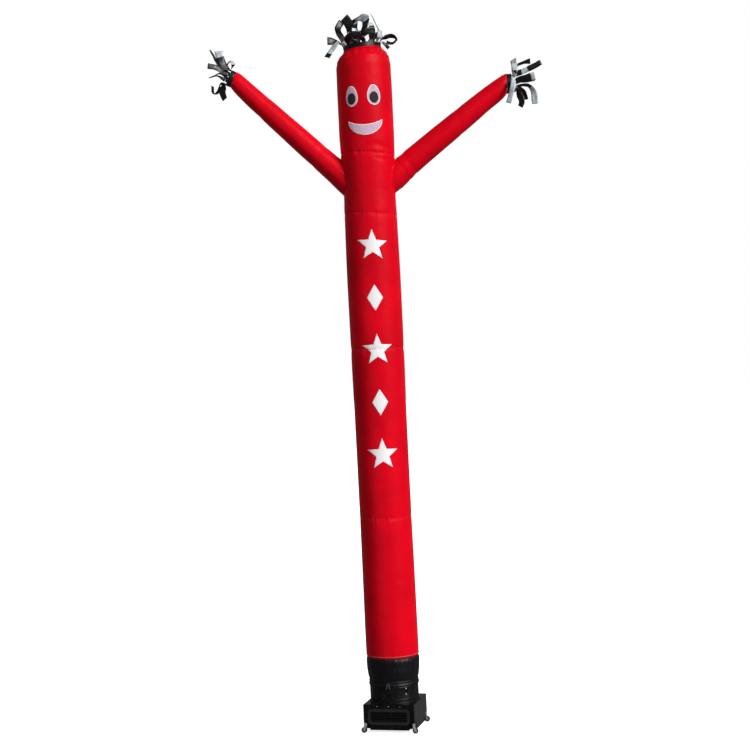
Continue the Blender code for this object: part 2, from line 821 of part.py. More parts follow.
def add_streamers(name, bands, mouth, radii, height, parent):
    """A strip round a vent with its bands. mouth's Z points out of the vent."""
    bm = bmesh.new()
    sides = 2 * len(bands)
    inner = Matrix.Diagonal((radii[0], radii[1], 1.0))
    bmesh.ops.create_cone(
        bm, cap_ends=False, segments=sides, radius1=1.0, radius2=1.0, depth=height
    )
    bmesh.ops.transform(bm, matrix=inner.to_4x4(), verts=bm.verts)
    bmesh.ops.translate(bm, vec=(0.0, 0.0, height / 2), verts=bm.verts)
    shell = bmesh.ops.solidify(bm, geom=bm.faces[:], thickness=STRIP)
    bmesh.ops.transform(bm, matrix=mouth, verts=bm.verts)
    bm.normal_update()
    out = mouth.col[2].xyz
    rim = [f for f in bm.faces if f.normal.dot(out) > 0.9]
    centre = mouth.translation
    front = Vector((0.0, -1.0, 0.0))
    right = front.cross(out)

    def place_round(face):
        spoke = face.calc_center_median() - centre
        return math.atan2(spoke.dot(-right), spoke.dot(front)) % (2 * math.pi)

    rim.sort(key=place_round)
    for facet, band in zip(rim[::2], bands):
        extrude_band(bm, facet, band, mouth)
    bmesh.ops.recalc_face_normals(bm, faces=bm.faces)
    add_part(name, mesh_from(bm, name), "streamer_cloth", parent)


def crown_mouth():
    """The frame of the head's vent, a hair above the cloth's edge."""
    centre = Vector((0.0, 0.0, CROWN + GAP))
    out = Vector((-CROWN_TILT, 0.0, 1.0)).normalized()
    return mouth_matrix(centre, out)


def hand_mouth(sleeve):
    """The frame of a hand's vent, a hair beyond the cloth's edge."""
    root, out, up, length = sleeve_frame(sleeve)
    upward = (up + out * sleeve.slant).normalized()
    normal = BACK.cross(upward)
    if normal.dot(out) < 0:
        normal = -normal
    beyond = GAP + CLOTH * sleeve.slant / math.hypot(1.0, sleeve.slant)
    return mouth_matrix(root + out * length + normal * beyond, normal)


def mouth_matrix(centre, out):
    """Z out of the vent, Y towards the back, X across."""
    turn = Matrix((BACK.cross(out), BACK, out)).transposed().to_4x4()
    return Matrix.Translation(centre) @ turn


def add_all_streamers(parent):
    edge = radius_at(CROWN)
    add_streamers(
        "crown_streamers", CROWN_BANDS, crown_mouth(), (edge, edge), CROWN_STRIP, parent
    )
    for sleeve, bands in zip(SLEEVES, (LEFT_BANDS, RIGHT_BANDS)):
        edge = sleeve.hand_radius
        tall = edge * math.hypot(1.0, sleeve.slant)
        add_streamers(
            sleeve.name + "_streamers",
            bands,
            hand_mouth(sleeve),
            (tall, edge),
            HAND_STRIP,
            parent,
        )


# The tie


def add_tie(parent):
    """A tape round the foot of the collar, with a knot and two free ends."""

    def beside_collar(height, angle):
        return tube_point(height, angle, grow=GAP, creased=False)

    rows = [TIE_HEIGHT - TIE_WIDTH / 2, TIE_HEIGHT + TIE_WIDTH / 2]
    tie = add_part("tie_tape", tube_mesh("tie_tape", rows, beside_collar, SIDES), "black_nylon", parent)
    solidify(tie, TAPE, 1)
    facing = Matrix.Rotation(math.radians(TIE_FACING), 4, "Z")
    outside = radius_at(TIE_HEIGHT) + GAP + TAPE
    knot_place = facing @ Vector((0.0, -outside - KNOT_SIZE[1] + TAPE / 2, TIE_HEIGHT))
    bm = bmesh.new()
    bmesh.ops.create_icosphere(bm, subdivisions=2, radius=1.0)
    bmesh.ops.scale(bm, vec=KNOT_SIZE, verts=bm.verts)
    bmesh.ops.transform(bm, matrix=Matrix.Translation(knot_place) @ facing, verts=bm.verts)
    knot = add_cutter("tie_knot", mesh_from(bm, "tie_knot"), parent)
    cut(tie, knot, "UNION")
    for side in (-1, 1):
        name = f"tie_tail_{'left' if side < 0 else 'right'}"
        splay = Matrix.Rotation(math.radians(side * TAIL_SPLAY), 4, "Y")
        hang = splay @ Vector((0.0, 0.0, -TAIL_LENGTH / 2))
        size = (TIE_WIDTH * 0.8, PATCH, TAIL_LENGTH)
        step_out = Vector((0.0, -outside - 0.75 * KNOT_SIZE[1] - side * PATCH, TIE_HEIGHT))
        tail_mesh = box_mesh(name, size, hang + step_out, splay)
        tail_mesh.transform(facing)
        cut(tie, add_cutter(name, tail_mesh, parent), "UNION")


# The blower


def add_housing(blower):
    """The folded shell over the base: open below, with a window and an outlet."""
    height = BOX_TOP - BASE_TOP
    bm = bmesh.new()
    bmesh.ops.create_cube(bm, size=1.0)
    bmesh.ops.scale(bm, vec=(BOX, BOX, height), verts=bm.verts)
    folds = [e for e in bm.edges if max(v.co.z for v in e.verts) > 0]
    bmesh.ops.bevel(bm, geom=folds, offset=EDGE_ROUND, segments=1, affect="EDGES")
    underside = [f for f in bm.faces if f.normal.z < -0.9]
    bmesh.ops.delete(bm, geom=underside, context="FACES_ONLY")
    bmesh.ops.translate(bm, vec=(0.0, 0.0, BASE_TOP + height / 2), verts=bm.verts)
    housing = add_part("blower_housing", mesh_from(bm, "blower_housing"), "black_steel", blower)
    solidify(housing, SHEET, -1)
    width = LOUVRE_SIZE[0] - 2 * LOUVRE_BORDER
    tall = LOUVRE_SIZE[1] - 2.5 * LOUVRE_BORDER
    place = (0.0, -BOX / 2, LOUVRE_HEIGHT + LOUVRE_BORDER / 4)
    window = rounded_plate("intake_window", width, tall, 6 * SHEET, LOUVRE_ROUND / 2, place)
    cut(housing, add_cutter("intake_window", window, blower))
    hole = rod_mesh(
        "outlet_hole",
        OUTLET_RADIUS - OUTLET_SHEET,
        6 * SHEET,
        Matrix.Translation((0.0, 0.0, BOX_TOP)) @ Matrix.Rotation(math.radians(-BLOWER_TURN), 4, "Z"),
        SIDES,
    )
    cut(housing, add_cutter("outlet_hole", hole, blower))


def add_base(blower):
    """What the shell stands on: four flat sides, and a well at each corner for its caster."""
    inner = BOX / 2 - WELL
    height = BASE_TOP - GAP - BOX_BOTTOM
    for i, side in enumerate(("front", "right", "back", "left")):
        name = f"{side}_skirt"
        place = (0.0, (SHEET - BOX) / 2, BOX_BOTTOM + height / 2)
        skirt = box_mesh(name, (2 * inner, SHEET, height), place)
        skirt.transform(Matrix.Rotation(math.radians(90 * i), 4, "Z"))
        add_part(name, skirt, "black_steel", blower)
    outer = BOX / 2 - SHEET - GAP
    middle = (inner + outer) / 2
    half = (outer - inner) / 2
    size = (2 * half, 2 * half, BASE_TOP - BOX_BOTTOM)
    for caster in CASTERS:
        name = f"{caster.name}_well"
        outwards = Vector((caster.x, caster.y, 0.0))
        bm = bmesh.new()
        bmesh.ops.create_cube(bm, size=1.0)
        bmesh.ops.scale(bm, vec=size, verts=bm.verts)
        corner = [e for e in bm.edges if (e.verts[0].co + e.verts[1].co).dot(outwards) > 3.9 * half]
        bmesh.ops.bevel(bm, geom=corner, offset=EDGE_ROUND, segments=1, affect="EDGES")
        opened = [f for f in bm.faces if f.normal.dot(outwards) > 0.5 or f.normal.z < -0.5]
        bmesh.ops.delete(bm, geom=opened, context="FACES")
        place = middle * outwards + Vector((0.0, 0.0, (BASE_TOP + BOX_BOTTOM) / 2))
        bmesh.ops.translate(bm, vec=place, verts=bm.verts)
        well = add_part(name, mesh_from(bm, name), "black_steel", blower)
        solidify(well, SHEET, 1)


def add_pan(blower):
    """The flat plate that closes the bottom, its corners cut away for the casters."""
    half = BOX / 2
    inner = half - WELL
    bm = bmesh.new()
    bmesh.ops.create_grid(bm, x_segments=3, y_segments=3, size=half)
    for vert in bm.verts:
        for axis in (0, 1):
            if abs(vert.co[axis]) < half - GAP:
                vert.co[axis] = math.copysign(inner, vert.co[axis])
    corners = [f for f in bm.faces if min(abs(c) for c in f.calc_center_median()[:2]) > inner / 2]
    bmesh.ops.delete(bm, geom=corners, context="FACES")
    bmesh.ops.translate(bm, vec=(0.0, 0.0, PAN_BOTTOM + PAN_SHEET), verts=bm.verts)
    pan = add_part("base_pan", mesh_from(bm, "base_pan"), "black_steel", blower)
    solidify(pan, PAN_SHEET, -1)


def add_outlet(parent):
    """The round outlet, with its flange on the box and its two rivets."""
    bottom = BOX_TOP + GAP
    inner = OUTLET_RADIUS - OUTLET_SHEET
    profile = (
        (OUTLET_RADIUS, OUTLET_TOP),
        (OUTLET_RADIUS, bottom + OUTLET_SHEET),
        (OUTLET_FLANGE, bottom + OUTLET_SHEET),
        (OUTLET_FLANGE, bottom),
        (inner, bottom),
        (inner, OUTLET_TOP),
    )
    turned_part("outlet_ring", profile, SIDES, "black_steel", parent, closed=True)
    side_middle = OUTLET_RADIUS * math.cos(math.pi / SIDES)
    for i, height in enumerate(RIVET_HEIGHTS):
        rivet = turned_part(
            f"ring_rivet_{i + 1}", head_profile(RIVET_RADIUS), 12, "bright_rivet", parent, False
        )
        turn = Matrix.Rotation(math.radians(RIVET_FACING), 4, "Z")
        place = Matrix.Translation((0.0, -side_middle - GAP, height))
        rivet.matrix_local = turn @ place @ Matrix.Rotation(math.radians(90), 4, "X")


def head_profile(radius):
    """A low round head, flat underneath."""
    return (
        (0.0, 0.42 * radius),
        (0.55 * radius, 0.34 * radius),
        (radius, 0.08 * radius),
        (radius, 0.0),
        (0.0, 0.0),
    )


def add_louvre(blower):
    """The guard over the window: a frame with sloping slats, one piece."""
    width, tall = LOUVRE_SIZE
    front = -BOX / 2 - GAP - LOUVRE_THICK / 2
    centre = (0.0, front, LOUVRE_HEIGHT)
    frame = rounded_plate("intake_louvre", width, tall, LOUVRE_THICK, LOUVRE_ROUND, centre)
    louvre = add_part("intake_louvre", frame, "black_steel", blower)
    inside_width, inside_tall = (size - 4 * LOUVRE_BORDER for size in LOUVRE_SIZE)
    inside = rounded_plate(
        "louvre_inside", inside_width, inside_tall, 4 * LOUVRE_THICK, LOUVRE_ROUND / 2, centre
    )
    cut(louvre, add_cutter("louvre_inside", inside, blower))
    slope = Matrix.Rotation(math.radians(SLAT_ANGLE), 4, "X")
    size = (inside_width + LOUVRE_BORDER, SLAT_THICK, SLAT_WIDTH)
    spacing = inside_tall / SLATS
    for i in range(SLATS):
        name = f"slat_{i + 1}"
        height = LOUVRE_HEIGHT + (i - (SLATS - 1) / 2) * spacing
        mesh = box_mesh(name, size, (0.0, front, height), slope)
        cut(louvre, add_cutter(name, mesh, blower), "UNION")


def add_small_fittings(blower):
    """The screws along the top of the front, and the cable gland at the back."""
    forward = Matrix.Rotation(math.radians(90), 4, "X")
    for i, name in enumerate(("left", "middle", "right")):
        screw = turned_part(
            f"housing_screw_{name}", head_profile(SCREW_RADIUS), 10, "zinc_steel", blower, False
        )
        across = (i - 1) * SCREW_SPACING
        place = (across, -BOX / 2 - GAP, BOX_TOP - SCREW_BELOW_TOP)
        screw.matrix_local = Matrix.Translation(place) @ forward
    profile = (
        (0.0, 0.026),
        (0.0085, 0.024),
        (0.0105, 0.010),
        (0.0140, 0.009),
        (0.0140, 0.0),
        (0.0, 0.0),
    )
    gland = turned_part("cable_gland", profile, 12, "black_rubber", blower, False)
    place = Matrix.Translation((GLAND_PLACE[0], BOX / 2 + GAP, GLAND_PLACE[1]))
    gland.matrix_local = place @ Matrix.Rotation(math.radians(-90), 4, "X")


# Casters


def add_cup(caster, corner):
    """The ring fixed under the well's top, in which the fork's kingpin turns."""
    top = BASE_TOP - GAP
    bottom = CROWN_TOP + KINGPIN_CLEAR
    bore = KINGPIN_RADIUS + KINGPIN_CLEAR
    profile = (
        (CUP_RADIUS, top),
        (CUP_RADIUS, bottom + 0.004),
        (CUP_RADIUS - 0.0015, bottom),
        (bore, bottom),
        (bore, top),
    )
    turned_part(caster.name + "_cup", profile, 16, "zinc_steel", corner, closed=True)


def add_fork(caster, swivel):
    """The bent fork that swivels, with its kingpin and the wheel's axle pin."""
    outside = LEG_HALF + LEG_THICK
    foot = WHEEL_RADIUS - 2 * AXLE_RADIUS
    under = CROWN_TOP - CROWN_THICK
    section = (
        (-outside, foot),
        (-LEG_HALF, foot),
        (-LEG_HALF, under),
        (LEG_HALF, under),
        (LEG_HALF, foot),
        (outside, foot),
        (outside, CROWN_TOP),
        (-outside, CROWN_TOP),
    )
    bm = bmesh.new()
    face = bm.faces.new([bm.verts.new((-CUP_RADIUS + 0.002, y, z)) for y, z in section])
    pulled = bmesh.ops.extrude_face_region(bm, geom=[face])["geom"]
    across = [item for item in pulled if isinstance(item, bmesh.types.BMVert)]
    bmesh.ops.translate(bm, vec=(2 * CUP_RADIUS - 0.004, 0.0, 0.0), verts=across)
    for vert in bm.verts:
        if vert.co.z < WHEEL_RADIUS:
            vert.co.x = TRAIL + 0.55 * vert.co.x
    bmesh.ops.recalc_face_normals(bm, faces=bm.faces)
    name = caster.name + "_fork"
    fork = add_part(name, mesh_from(bm, name), "zinc_steel", swivel)
    along_y = Matrix.Rotation(math.radians(90), 4, "X")
    axle = rod_mesh(
        caster.name + "_axle_pin",
        AXLE_RADIUS,
        2 * outside + AXLE_RADIUS,
        Matrix.Translation((TRAIL, 0.0, WHEEL_RADIUS)) @ along_y,
        10,
    )
    cut(fork, add_cutter(caster.name + "_axle_pin", axle, swivel), "UNION")
    top = BASE_TOP - CROWN_THICK
    kingpin = rod_mesh(
        caster.name + "_kingpin",
        KINGPIN_RADIUS,
        top - under,
        Matrix.Translation((0.0, 0.0, (top + under) / 2 + GAP)),
        12,
    )
    cut(fork, add_cutter(caster.name + "_kingpin", kingpin, swivel), "UNION")


def add_wheel(caster, axle):
    """The wheel, with a flat of its tread on the floor."""
    tread = WHEEL_RADIUS / math.cos(math.pi / WHEEL_SIDES)
    profile = (
        (0.0090, HUB_HALF),
        (0.0190, 0.0055),
        (tread - 0.0015, WHEEL_HALF),
        (tread, WHEEL_HALF - 0.002),
        (tread, -WHEEL_HALF + 0.002),
        (tread - 0.0015, -WHEEL_HALF),
        (0.0190, -0.0055),
        (0.0090, -HUB_HALF),
        (BORE_RADIUS, -HUB_HALF),
        (BORE_RADIUS, HUB_HALF),
    )
    wheel = turned_part(
        caster.name + "_wheel", profile, WHEEL_SIDES, "black_rubber", axle, closed=True
    )
    half_side = Matrix.Rotation(math.pi / WHEEL_SIDES, 4, "Z")
    wheel.matrix_local = Matrix.Rotation(math.radians(90), 4, "X") @ half_side


def add_casters(blower):
    for caster in CASTERS:
        place = (caster.x * AXIS_INSET, caster.y * AXIS_INSET, 0.0)
        corner = add_empty(caster.name + "_corner", blower, place)
        swivel = add_empty(caster.name + "_swivel", corner, (0.0, 0.0, 0.0), caster.swivel)
        axle = add_empty(caster.name + "_axle", swivel, (TRAIL, 0.0, WHEEL_RADIUS))
        add_cup(caster, corner)
        add_fork(caster, swivel)
        add_wheel(caster, axle)


def main():
    clear_scene()
    make_materials()
    dancer = add_empty("dancer_axis", None, (BASE_X, 0.0, 0.0))
    blower = add_empty("blower_axis", dancer, (0.0, 0.0, 0.0), BLOWER_TURN)
    add_tube(dancer)
    add_face(dancer)
    add_shapes(dancer)
    add_all_streamers(dancer)
    add_tie(dancer)
    add_outlet(dancer)
    add_housing(blower)
    add_base(blower)
    add_pan(blower)
    add_louvre(blower)
    add_small_fittings(blower)
    add_casters(blower)


main()
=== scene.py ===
"""Inflatable air dancer on its blower: cloth, face, streamers and finishes.

Sizes are in metres. The tube stands upright over the blower, +Z is up, the face
looks towards -Y, and left and right are those of a viewer who faces it. Turns
round the tube are in radians from its front towards +X.
"""

import json
import math
from collections import namedtuple
from contextlib import contextmanager

import bmesh
import bpy
from mathutils import Matrix, Vector, noise


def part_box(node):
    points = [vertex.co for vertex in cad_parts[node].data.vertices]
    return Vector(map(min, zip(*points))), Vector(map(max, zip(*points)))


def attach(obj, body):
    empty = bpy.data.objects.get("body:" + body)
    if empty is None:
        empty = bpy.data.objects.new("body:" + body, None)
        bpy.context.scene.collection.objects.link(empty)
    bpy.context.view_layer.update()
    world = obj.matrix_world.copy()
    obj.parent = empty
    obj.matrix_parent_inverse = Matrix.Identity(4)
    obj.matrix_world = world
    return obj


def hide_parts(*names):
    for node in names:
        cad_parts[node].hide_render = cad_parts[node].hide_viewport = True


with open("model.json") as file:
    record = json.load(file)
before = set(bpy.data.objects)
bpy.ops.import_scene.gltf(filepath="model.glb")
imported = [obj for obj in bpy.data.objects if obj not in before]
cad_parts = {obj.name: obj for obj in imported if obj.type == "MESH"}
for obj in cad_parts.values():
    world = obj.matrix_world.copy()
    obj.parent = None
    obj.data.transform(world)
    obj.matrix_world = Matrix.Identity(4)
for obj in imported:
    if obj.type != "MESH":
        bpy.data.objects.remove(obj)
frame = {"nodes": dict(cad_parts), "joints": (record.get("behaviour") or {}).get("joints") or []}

bl_info = {
    "name": "Inflatable air dancer",
    "version": (1, 0, 0),
    "blender": (4, 5, 0),
    "location": "3D View > Sidebar > Dancer",
    "description": "Cloth, face, streamers and blower finishes of an inflatable air dancer",
    "category": "Object",
}

OUTLET_LOW, OUTLET_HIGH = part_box("outlet_ring")
AXIS_X = (OUTLET_LOW.x + OUTLET_HIGH.x) / 2
OUTLET_RADIUS = 0.2145
OUTLET_FLANGE = 0.2255
UPPER_BEAD = 0.390
BEAD_STEP = 0.0012
# The duct's sheet laps over itself at the back: by how much it stands out, and half its turn.
LAP = 0.0012
LAP_TURN = 0.03

# The tube's radius at each height.
STATIONS = (
    (0.405, 0.2205),
    (0.425, 0.2163),
    (0.447, 0.2163),
    (0.470, 0.2205),
    (0.540, 0.2270),
    (0.640, 0.2315),
    (1.300, 0.2300),
    (1.865, 0.2270),
    (2.700, 0.2280),
    (3.347, 0.2330),
    (4.050, 0.2345),
    (4.531, 0.2300),
    (4.700, 0.2260),
    (5.058, 0.2370),
    (5.250, 0.2410),
    (5.600, 0.2410),
    (5.835, 0.2385),
    (5.900, 0.2290),
    (5.942, 0.2110),
    (5.969, 0.1850),
    (5.985, 0.1680),
)
# The panels sewn end to end: each one's name, bottom and top.
PANELS = (
    ("collar", 0.405, 0.640),
    ("lower", 0.640, 1.865),
    ("middle", 1.865, 3.347),
    ("upper", 3.347, 4.531),
    ("shoulder", 4.531, 5.058),
    ("head", 5.058, 5.985),
)
CROWN_ROWS = (5.84, 0.0075)  # where the rows of the crown start, and their step
PANEL_GAP = 0.0004
ROUND = 144  # corners round the tube
# Each seam's height, and how far it draws the cloth in.
SEAMS = ((0.640, 0.0030), (1.865, 0.0025), (3.347, 0.0030), (4.531, 0.0035), (5.058, 0.0045))
# How far a seam's pull reaches, how soon its puckers fade, and where they end.
SEAM_REACH = 0.011
PUCKER_REACH = 0.038
PUCKER_END = 0.2
# Slack folds part way round: height, reach, depth, facing and half span in radians.
FOLDS = (
    (1.318, 0.022, 0.0035, 0.70, 1.05),
    (5.118, 0.020, 0.0060, 0.44, 0.96),
    (4.742, 0.009, 0.0050, 0.60, 0.75),
    (5.012, 0.013, 0.0085, 0.75, 0.80),
    (4.965, 0.012, 0.0070, 1.00, 0.60),
    (4.905, 0.012, 0.0040, 1.15, 0.40),
    (2.060, 0.018, 0.0016, 0.20, 1.10),
    (3.080, 0.020, 0.0018, -0.30, 1.00),
    (0.905, 0.018, 0.0018, -0.20, 1.10),
)
# Pleats drawn in at the collar's foot and the crown: height, reach and depth.
GATHERS = ((0.470, 0.020, 0.0014), (5.957, 0.030, 0.0035))
PLEATS = 16
# The air presses the cloth out above the collar's foot: how far, from where, over what rise.
TUBE_FULL = (0.0020, 0.50, 0.08)
# The collar fills out between its tie and its seam: how far, where it starts and over what
# rise, where it stops and over what rise.
COLLAR_FULL = (0.0045, 0.452, 0.018, 0.612, 0.030)
# Crumples where the cloth is gathered: where they start, over what rise, and how deep.
CROWN_CRUMPLE = (5.86, 0.09, 0.005)
COLLAR_CRUMPLE = (0.62, 0.06, 0.003)
# The hem flares below the tie: how far, from where, over what drop.
HEM_FLARE = (0.0040, 0.425, 0.013)
COLLAR_LEAST = 0.2161  # the collar stays this far from the axis, clear of the duct
DUCT_REACH = 0.48  # and does so up to here
CROWN = 5.985
CROWN_TILT = 0.08
CROWN_TILT_FROM = 5.72
# The shoulder's seams run lower on the right: their slope, and where it starts and ends.
SEAM_TILT = -0.075
SEAM_TILT_RUN = (3.70, 4.40, 5.10, 5.19)
TIE_HEIGHT = 0.435  # the middle of the tie

# Each sleeve: its root and hand (across, height), its radii there, the slant of its mouth,
# how far air fills it out past a straight taper, how far it rises along its length, its
# noise's own place, and its creases (how far along, reach, depth).
Sleeve = namedtuple("Sleeve", "root hand wide narrow slant full lift seed creases")
SLEEVES = {
    "left": Sleeve(
        (-0.217, 4.870), (-1.148, 5.786), 0.110, 0.070, 0.34, 0.009, -0.004, 5.0,
        ((0.30, 0.030, 0.0030), (0.95, 0.030, 0.0025)),
    ),
    "right": Sleeve(
        (0.232, 4.870), (1.254, 5.631), 0.114, 0.070, 0.78, 0.013, 0.008, 9.0,
        ((0.085, 0.013, 0.0030), (0.16, 0.020, 0.0045), (0.74, 0.030, 0.0025)),
    ),
}
SLEEVE_ROUND = 88  # corners round a sleeve
SLEEVE_CUFF = 0.030  # how soon the fullness ends at the hand
ROOT_FLARE = (0.007, 0.10)  # how far, and how soon it fades
# Where along a sleeve its seam to the tube is looked for, and how deep it sits in the tube.
ROOT_SEARCH = (-0.25, 0.35)
ROOT_SINK = 0.001
# The hole in the shoulder under a sleeve: how far its cutter reaches, and how much it is less.
HOLE_REACH = 0.2
HOLE_INSET = 0.004

# Each kind of piece: its material slot and its finish, or a thread's finish and its slot.
RED, BLACK = ("red_nylon", "tube_nylon"), ("black_nylon", "collar_nylon")
RED_THREAD, BLACK_THREAD = ("red_thread", "red_nylon"), ("black_thread", "black_nylon")
THREAD_SIZE = (0.0014, 0.0010)
STITCH_LIFT = 0.0004
# Folds and tapes: rows across them, and how far each row stands off the cloth.
SEAM_WIDTH = 0.016
SEAM_ROWS = (-1.0, -0.85, -0.3, 0.3, 0.85, 1.0)
SEAM_RISE = (0.0002, 0.0009, 0.0011, 0.0011, 0.0009, 0.0002)
HEM_TAPES = {
    # The raised hem ridge is real; its lighter pink colour is a painted highlight.
    "hem_ridge": (
        (0.6575, 0.6580, 0.6595, 0.6615, 0.6635, 0.6650, 0.6655),
        (0.0002, 0.0014, 0.0030, 0.0036, 0.0030, 0.0014, 0.0002),
    ),
    # The strip under the ridge: its darkened red is a painted shadow.
    "hem_strip": (
        (0.6405, 0.6412, 0.6450, 0.6530, 0.6568, 0.6574),
        (0.0002, 0.0008, 0.0009, 0.0009, 0.0008, 0.0002),
    ),
}
HEM_STITCHES = (0.413, 0.417)  # the heights of two rows at the collar's foot
BINDING_ROWS = (-0.006, -0.005, -0.002, 0.002, 0.005, 0.006)
BINDING_RISE = (0.0002, 0.0022, 0.0030, 0.0032, 0.0026, 0.0006)
ROOT_ROWS = (0.0, 0.0022, 0.0044, 0.0066, 0.0088)
ROOT_RISE = (0.0005, 0.0016, 0.0020, 0.0016, 0.0002)
SLEEVE_STITCHES = ((0.010, 118), (0.994, 74))  # how far along, and how many
TIE_HALF = 0.008
TIE_RISE = (0.0008, 0.0020, 0.0024, 0.0026, 0.0024, 0.0020, 0.0008)
TIE_END = (0.0125, 0.053)
KNOT_FACING = math.radians(-14.0)

# Fine patterns: the weave's threads, the mesh's holes, and paint worn to grey.
WEAVE = 0.0009
MESH_HOLE = 0.0026
WORN_PAINT = (0.024, 0.024, 0.027)

# The face and the plain shapes down the front.
EYE_HEIGHT = 5.553
EYE_FACING = {"left": math.radians(-28.7), "right": math.radians(18.8)}
# The right eye is a little wider and higher than the left: half of each difference.
EYE_WIDER = 0.0015
EYE_HIGHER = 0.0017
# Half across, half up, and for an eye how much narrower it is at its top.
EYE_OVAL = (0.0585, 0.090, 0.16)
PUPIL_OVAL = (0.039, 0.050)
PUPIL_DROP = 0.022
EYE_BORDER = 0.0065
SMILE_BORDER = 0.0060
FACE_TILT = math.radians(1.0)
# How far a patch lies off the cloth, and how far in and how far off its stitches lie.
BORDER_LIFT, BORDER_EDGE = 0.0012, (0.0012, 0.0021)
PUPIL_LIFT, PUPIL_EDGE = 0.0024, (0.004, 0.0033)
SHAPE_LIFT, SHAPE_EDGE = 0.0013, (0.005, 0.0022)
PATCH_SQUARE = 0.011
SMILE_HEIGHT = 5.300
SMILE_FACING = math.radians(-2.0)
# Name, height, points (a diamond has two), and how far its outer and inner corners reach.
SHAPES = (
    ("star_top", 4.250, 5, 0.140, 0.060),
    ("diamond_upper", 3.795, 2, 0.115, 0.070),
    ("star_middle", 3.340, 5, 0.140, 0.060),
    ("diamond_lower", 2.885, 2, 0.115, 0.070),
    ("star_bottom", 2.430, 5, 0.140, 0.060),
)
# Where a streamer's silver side is turned to the front: across, height and reach.
TURNED_OVER = (
    (0.002, 6.293, 0.044),
    (-0.232, 6.039, 0.040),
    (-0.266, 5.992, 0.042),
    (0.169, 6.107, 0.035),
    (0.149, 6.055, 0.027),
    (0.077, 6.205, 0.031),
    (-0.071, 6.163, 0.035),
    (-1.255, 6.016, 0.040),
    (-1.359, 5.916, 0.027),
    (-1.318, 5.839, 0.035),
    (-1.153, 5.943, 0.027),
    (1.328, 5.784, 0.057),
    (1.276, 5.503, 0.049),
    (1.294, 5.591, 0.049),
    (1.311, 5.661, 0.040),
    (1.501, 5.483, 0.053),
    (1.504, 5.545, 0.044),
    (1.449, 5.765, 0.035),
    (1.500, 5.690, 0.031),
)
BAND_SEED = 4  # without a seed, noise vectors change with the clock
CUT_EDGE = math.radians(62)
RIPPLE = 0.0055
# Each vent's strip: its height and its radius.
CROWN_VENT = (0.045, 0.168)
HAND_VENT = (0.042, 0.080)

CASTERS = ("front_left", "front_right", "back_left", "back_right")
JOINTS = {joint["name"]: joint for joint in frame["joints"]}
WHEEL_RADIUS = 0.025
WHEEL_WIDTH = 0.016
WHEEL_SIDES = 56
HUB_RADIUS = 0.019
NUT_PLACE = 0.0142
NUT_RADIUS = 0.0052
NUT_DEPTH = 0.0034
# A wheel's sidewall, groove, hub and boss: how far in from the last, and how far out or in.
WHEEL_INSETS = ((0.0048, 0.0), (0.0008, -0.0016), (0.0090, 0.0004), (0.0006, 0.0026))
BLOWER_FINISHES = {
    "gloss_paint": [
        "blower_housing",
        "base_pan",
        *(f"{side}_skirt" for side in ("front", "right", "back", "left")),
        *(f"{caster}_well" for caster in CASTERS),
    ],
    # The louvre's paint is far lighter than the housing's black: a painted reflection on its
    # recessed slats.
    "louvre_paint": ["intake_louvre"],
    "zinc_plate": [
        *(f"housing_screw_{place}" for place in ("left", "middle", "right")),
        *(f"{caster}_{kind}" for caster in CASTERS for kind in ("cup", "fork")),
    ],
    "rivet_metal": ["ring_rivet_1", "ring_rivet_2"],
    "wheel_rubber": ["cable_gland"],
}

# Each light's name, how far to the right and how far up it stands, in degrees, its share of
# the key light's strength, and its spread. Only the key light shows in glossy finishes.
LIGHTS = (
    ("key", 48.0, 28.0, 1.0, 22.0),
    ("fill", -35.0, 3.0, 0.14, 50.0),
    ("rear", 165.0, 25.0, 0.35, 50.0),
)
CAMERA_ACROSS = -0.0115


class DancerCloth(bpy.types.PropertyGroup):
    """The cloth's colours and sizes."""

    red: bpy.props.FloatVectorProperty(
        name="Red nylon", description="Colour of the tube and sleeves", subtype="COLOR",
        size=3, min=0.0, max=1.0, default=(0.71, 0.0008, 0.011),
    )
    black: bpy.props.FloatVectorProperty(
        name="Black nylon", description="Colour of the collar and of the streamers' outside",
        subtype="COLOR", size=3, min=0.0, max=1.0, default=(0.0034, 0.0034, 0.0046),
    )
    silver: bpy.props.FloatVectorProperty(
        name="Silver coating", description="Colour of the streamers' inside", subtype="COLOR",
        size=3, min=0.0, max=1.0, default=(0.50, 0.56, 0.60),
    )
    white: bpy.props.FloatVectorProperty(
        name="White cloth", description="Colour of the sewn shapes and borders",
        subtype="COLOR", size=3, min=0.0, max=1.0, default=(0.82, 0.81, 0.83),
    )
    mesh_grey: bpy.props.FloatVectorProperty(
        name="Eye and mouth mesh", description="Colour of the open mesh inside the borders",
        subtype="COLOR", size=3, min=0.0, max=1.0, default=(0.82, 0.62, 0.78),
    )
    thickness: bpy.props.FloatProperty(
        name="Cloth thickness", description="Thickness of the nylon panels",
        unit="LENGTH", min=0.0003, max=0.003, default=0.0012, precision=4,
    )
    pucker: bpy.props.FloatProperty(
        name="Pucker depth", description="How deep the cloth puckers beside a seam",
        unit="LENGTH", min=0.0, max=0.01, default=0.0060, precision=4,
    )
    slack: bpy.props.FloatProperty(
        name="Slack", description="Depth of the soft dents in the inflated cloth",
        unit="LENGTH", min=0.0, max=0.01, default=0.0030, precision=4,
    )
    square: bpy.props.FloatProperty(
        name="Ripstop square", description="Spacing of the nylon's thicker threads",
        unit="LENGTH", min=0.002, max=0.02, default=0.005, precision=4,
    )
    stitch: bpy.props.FloatProperty(
        name="Stitch pitch", description="Length from one stitch to the next",
        unit="LENGTH", min=0.003, max=0.02, default=0.0065, precision=4,
    )


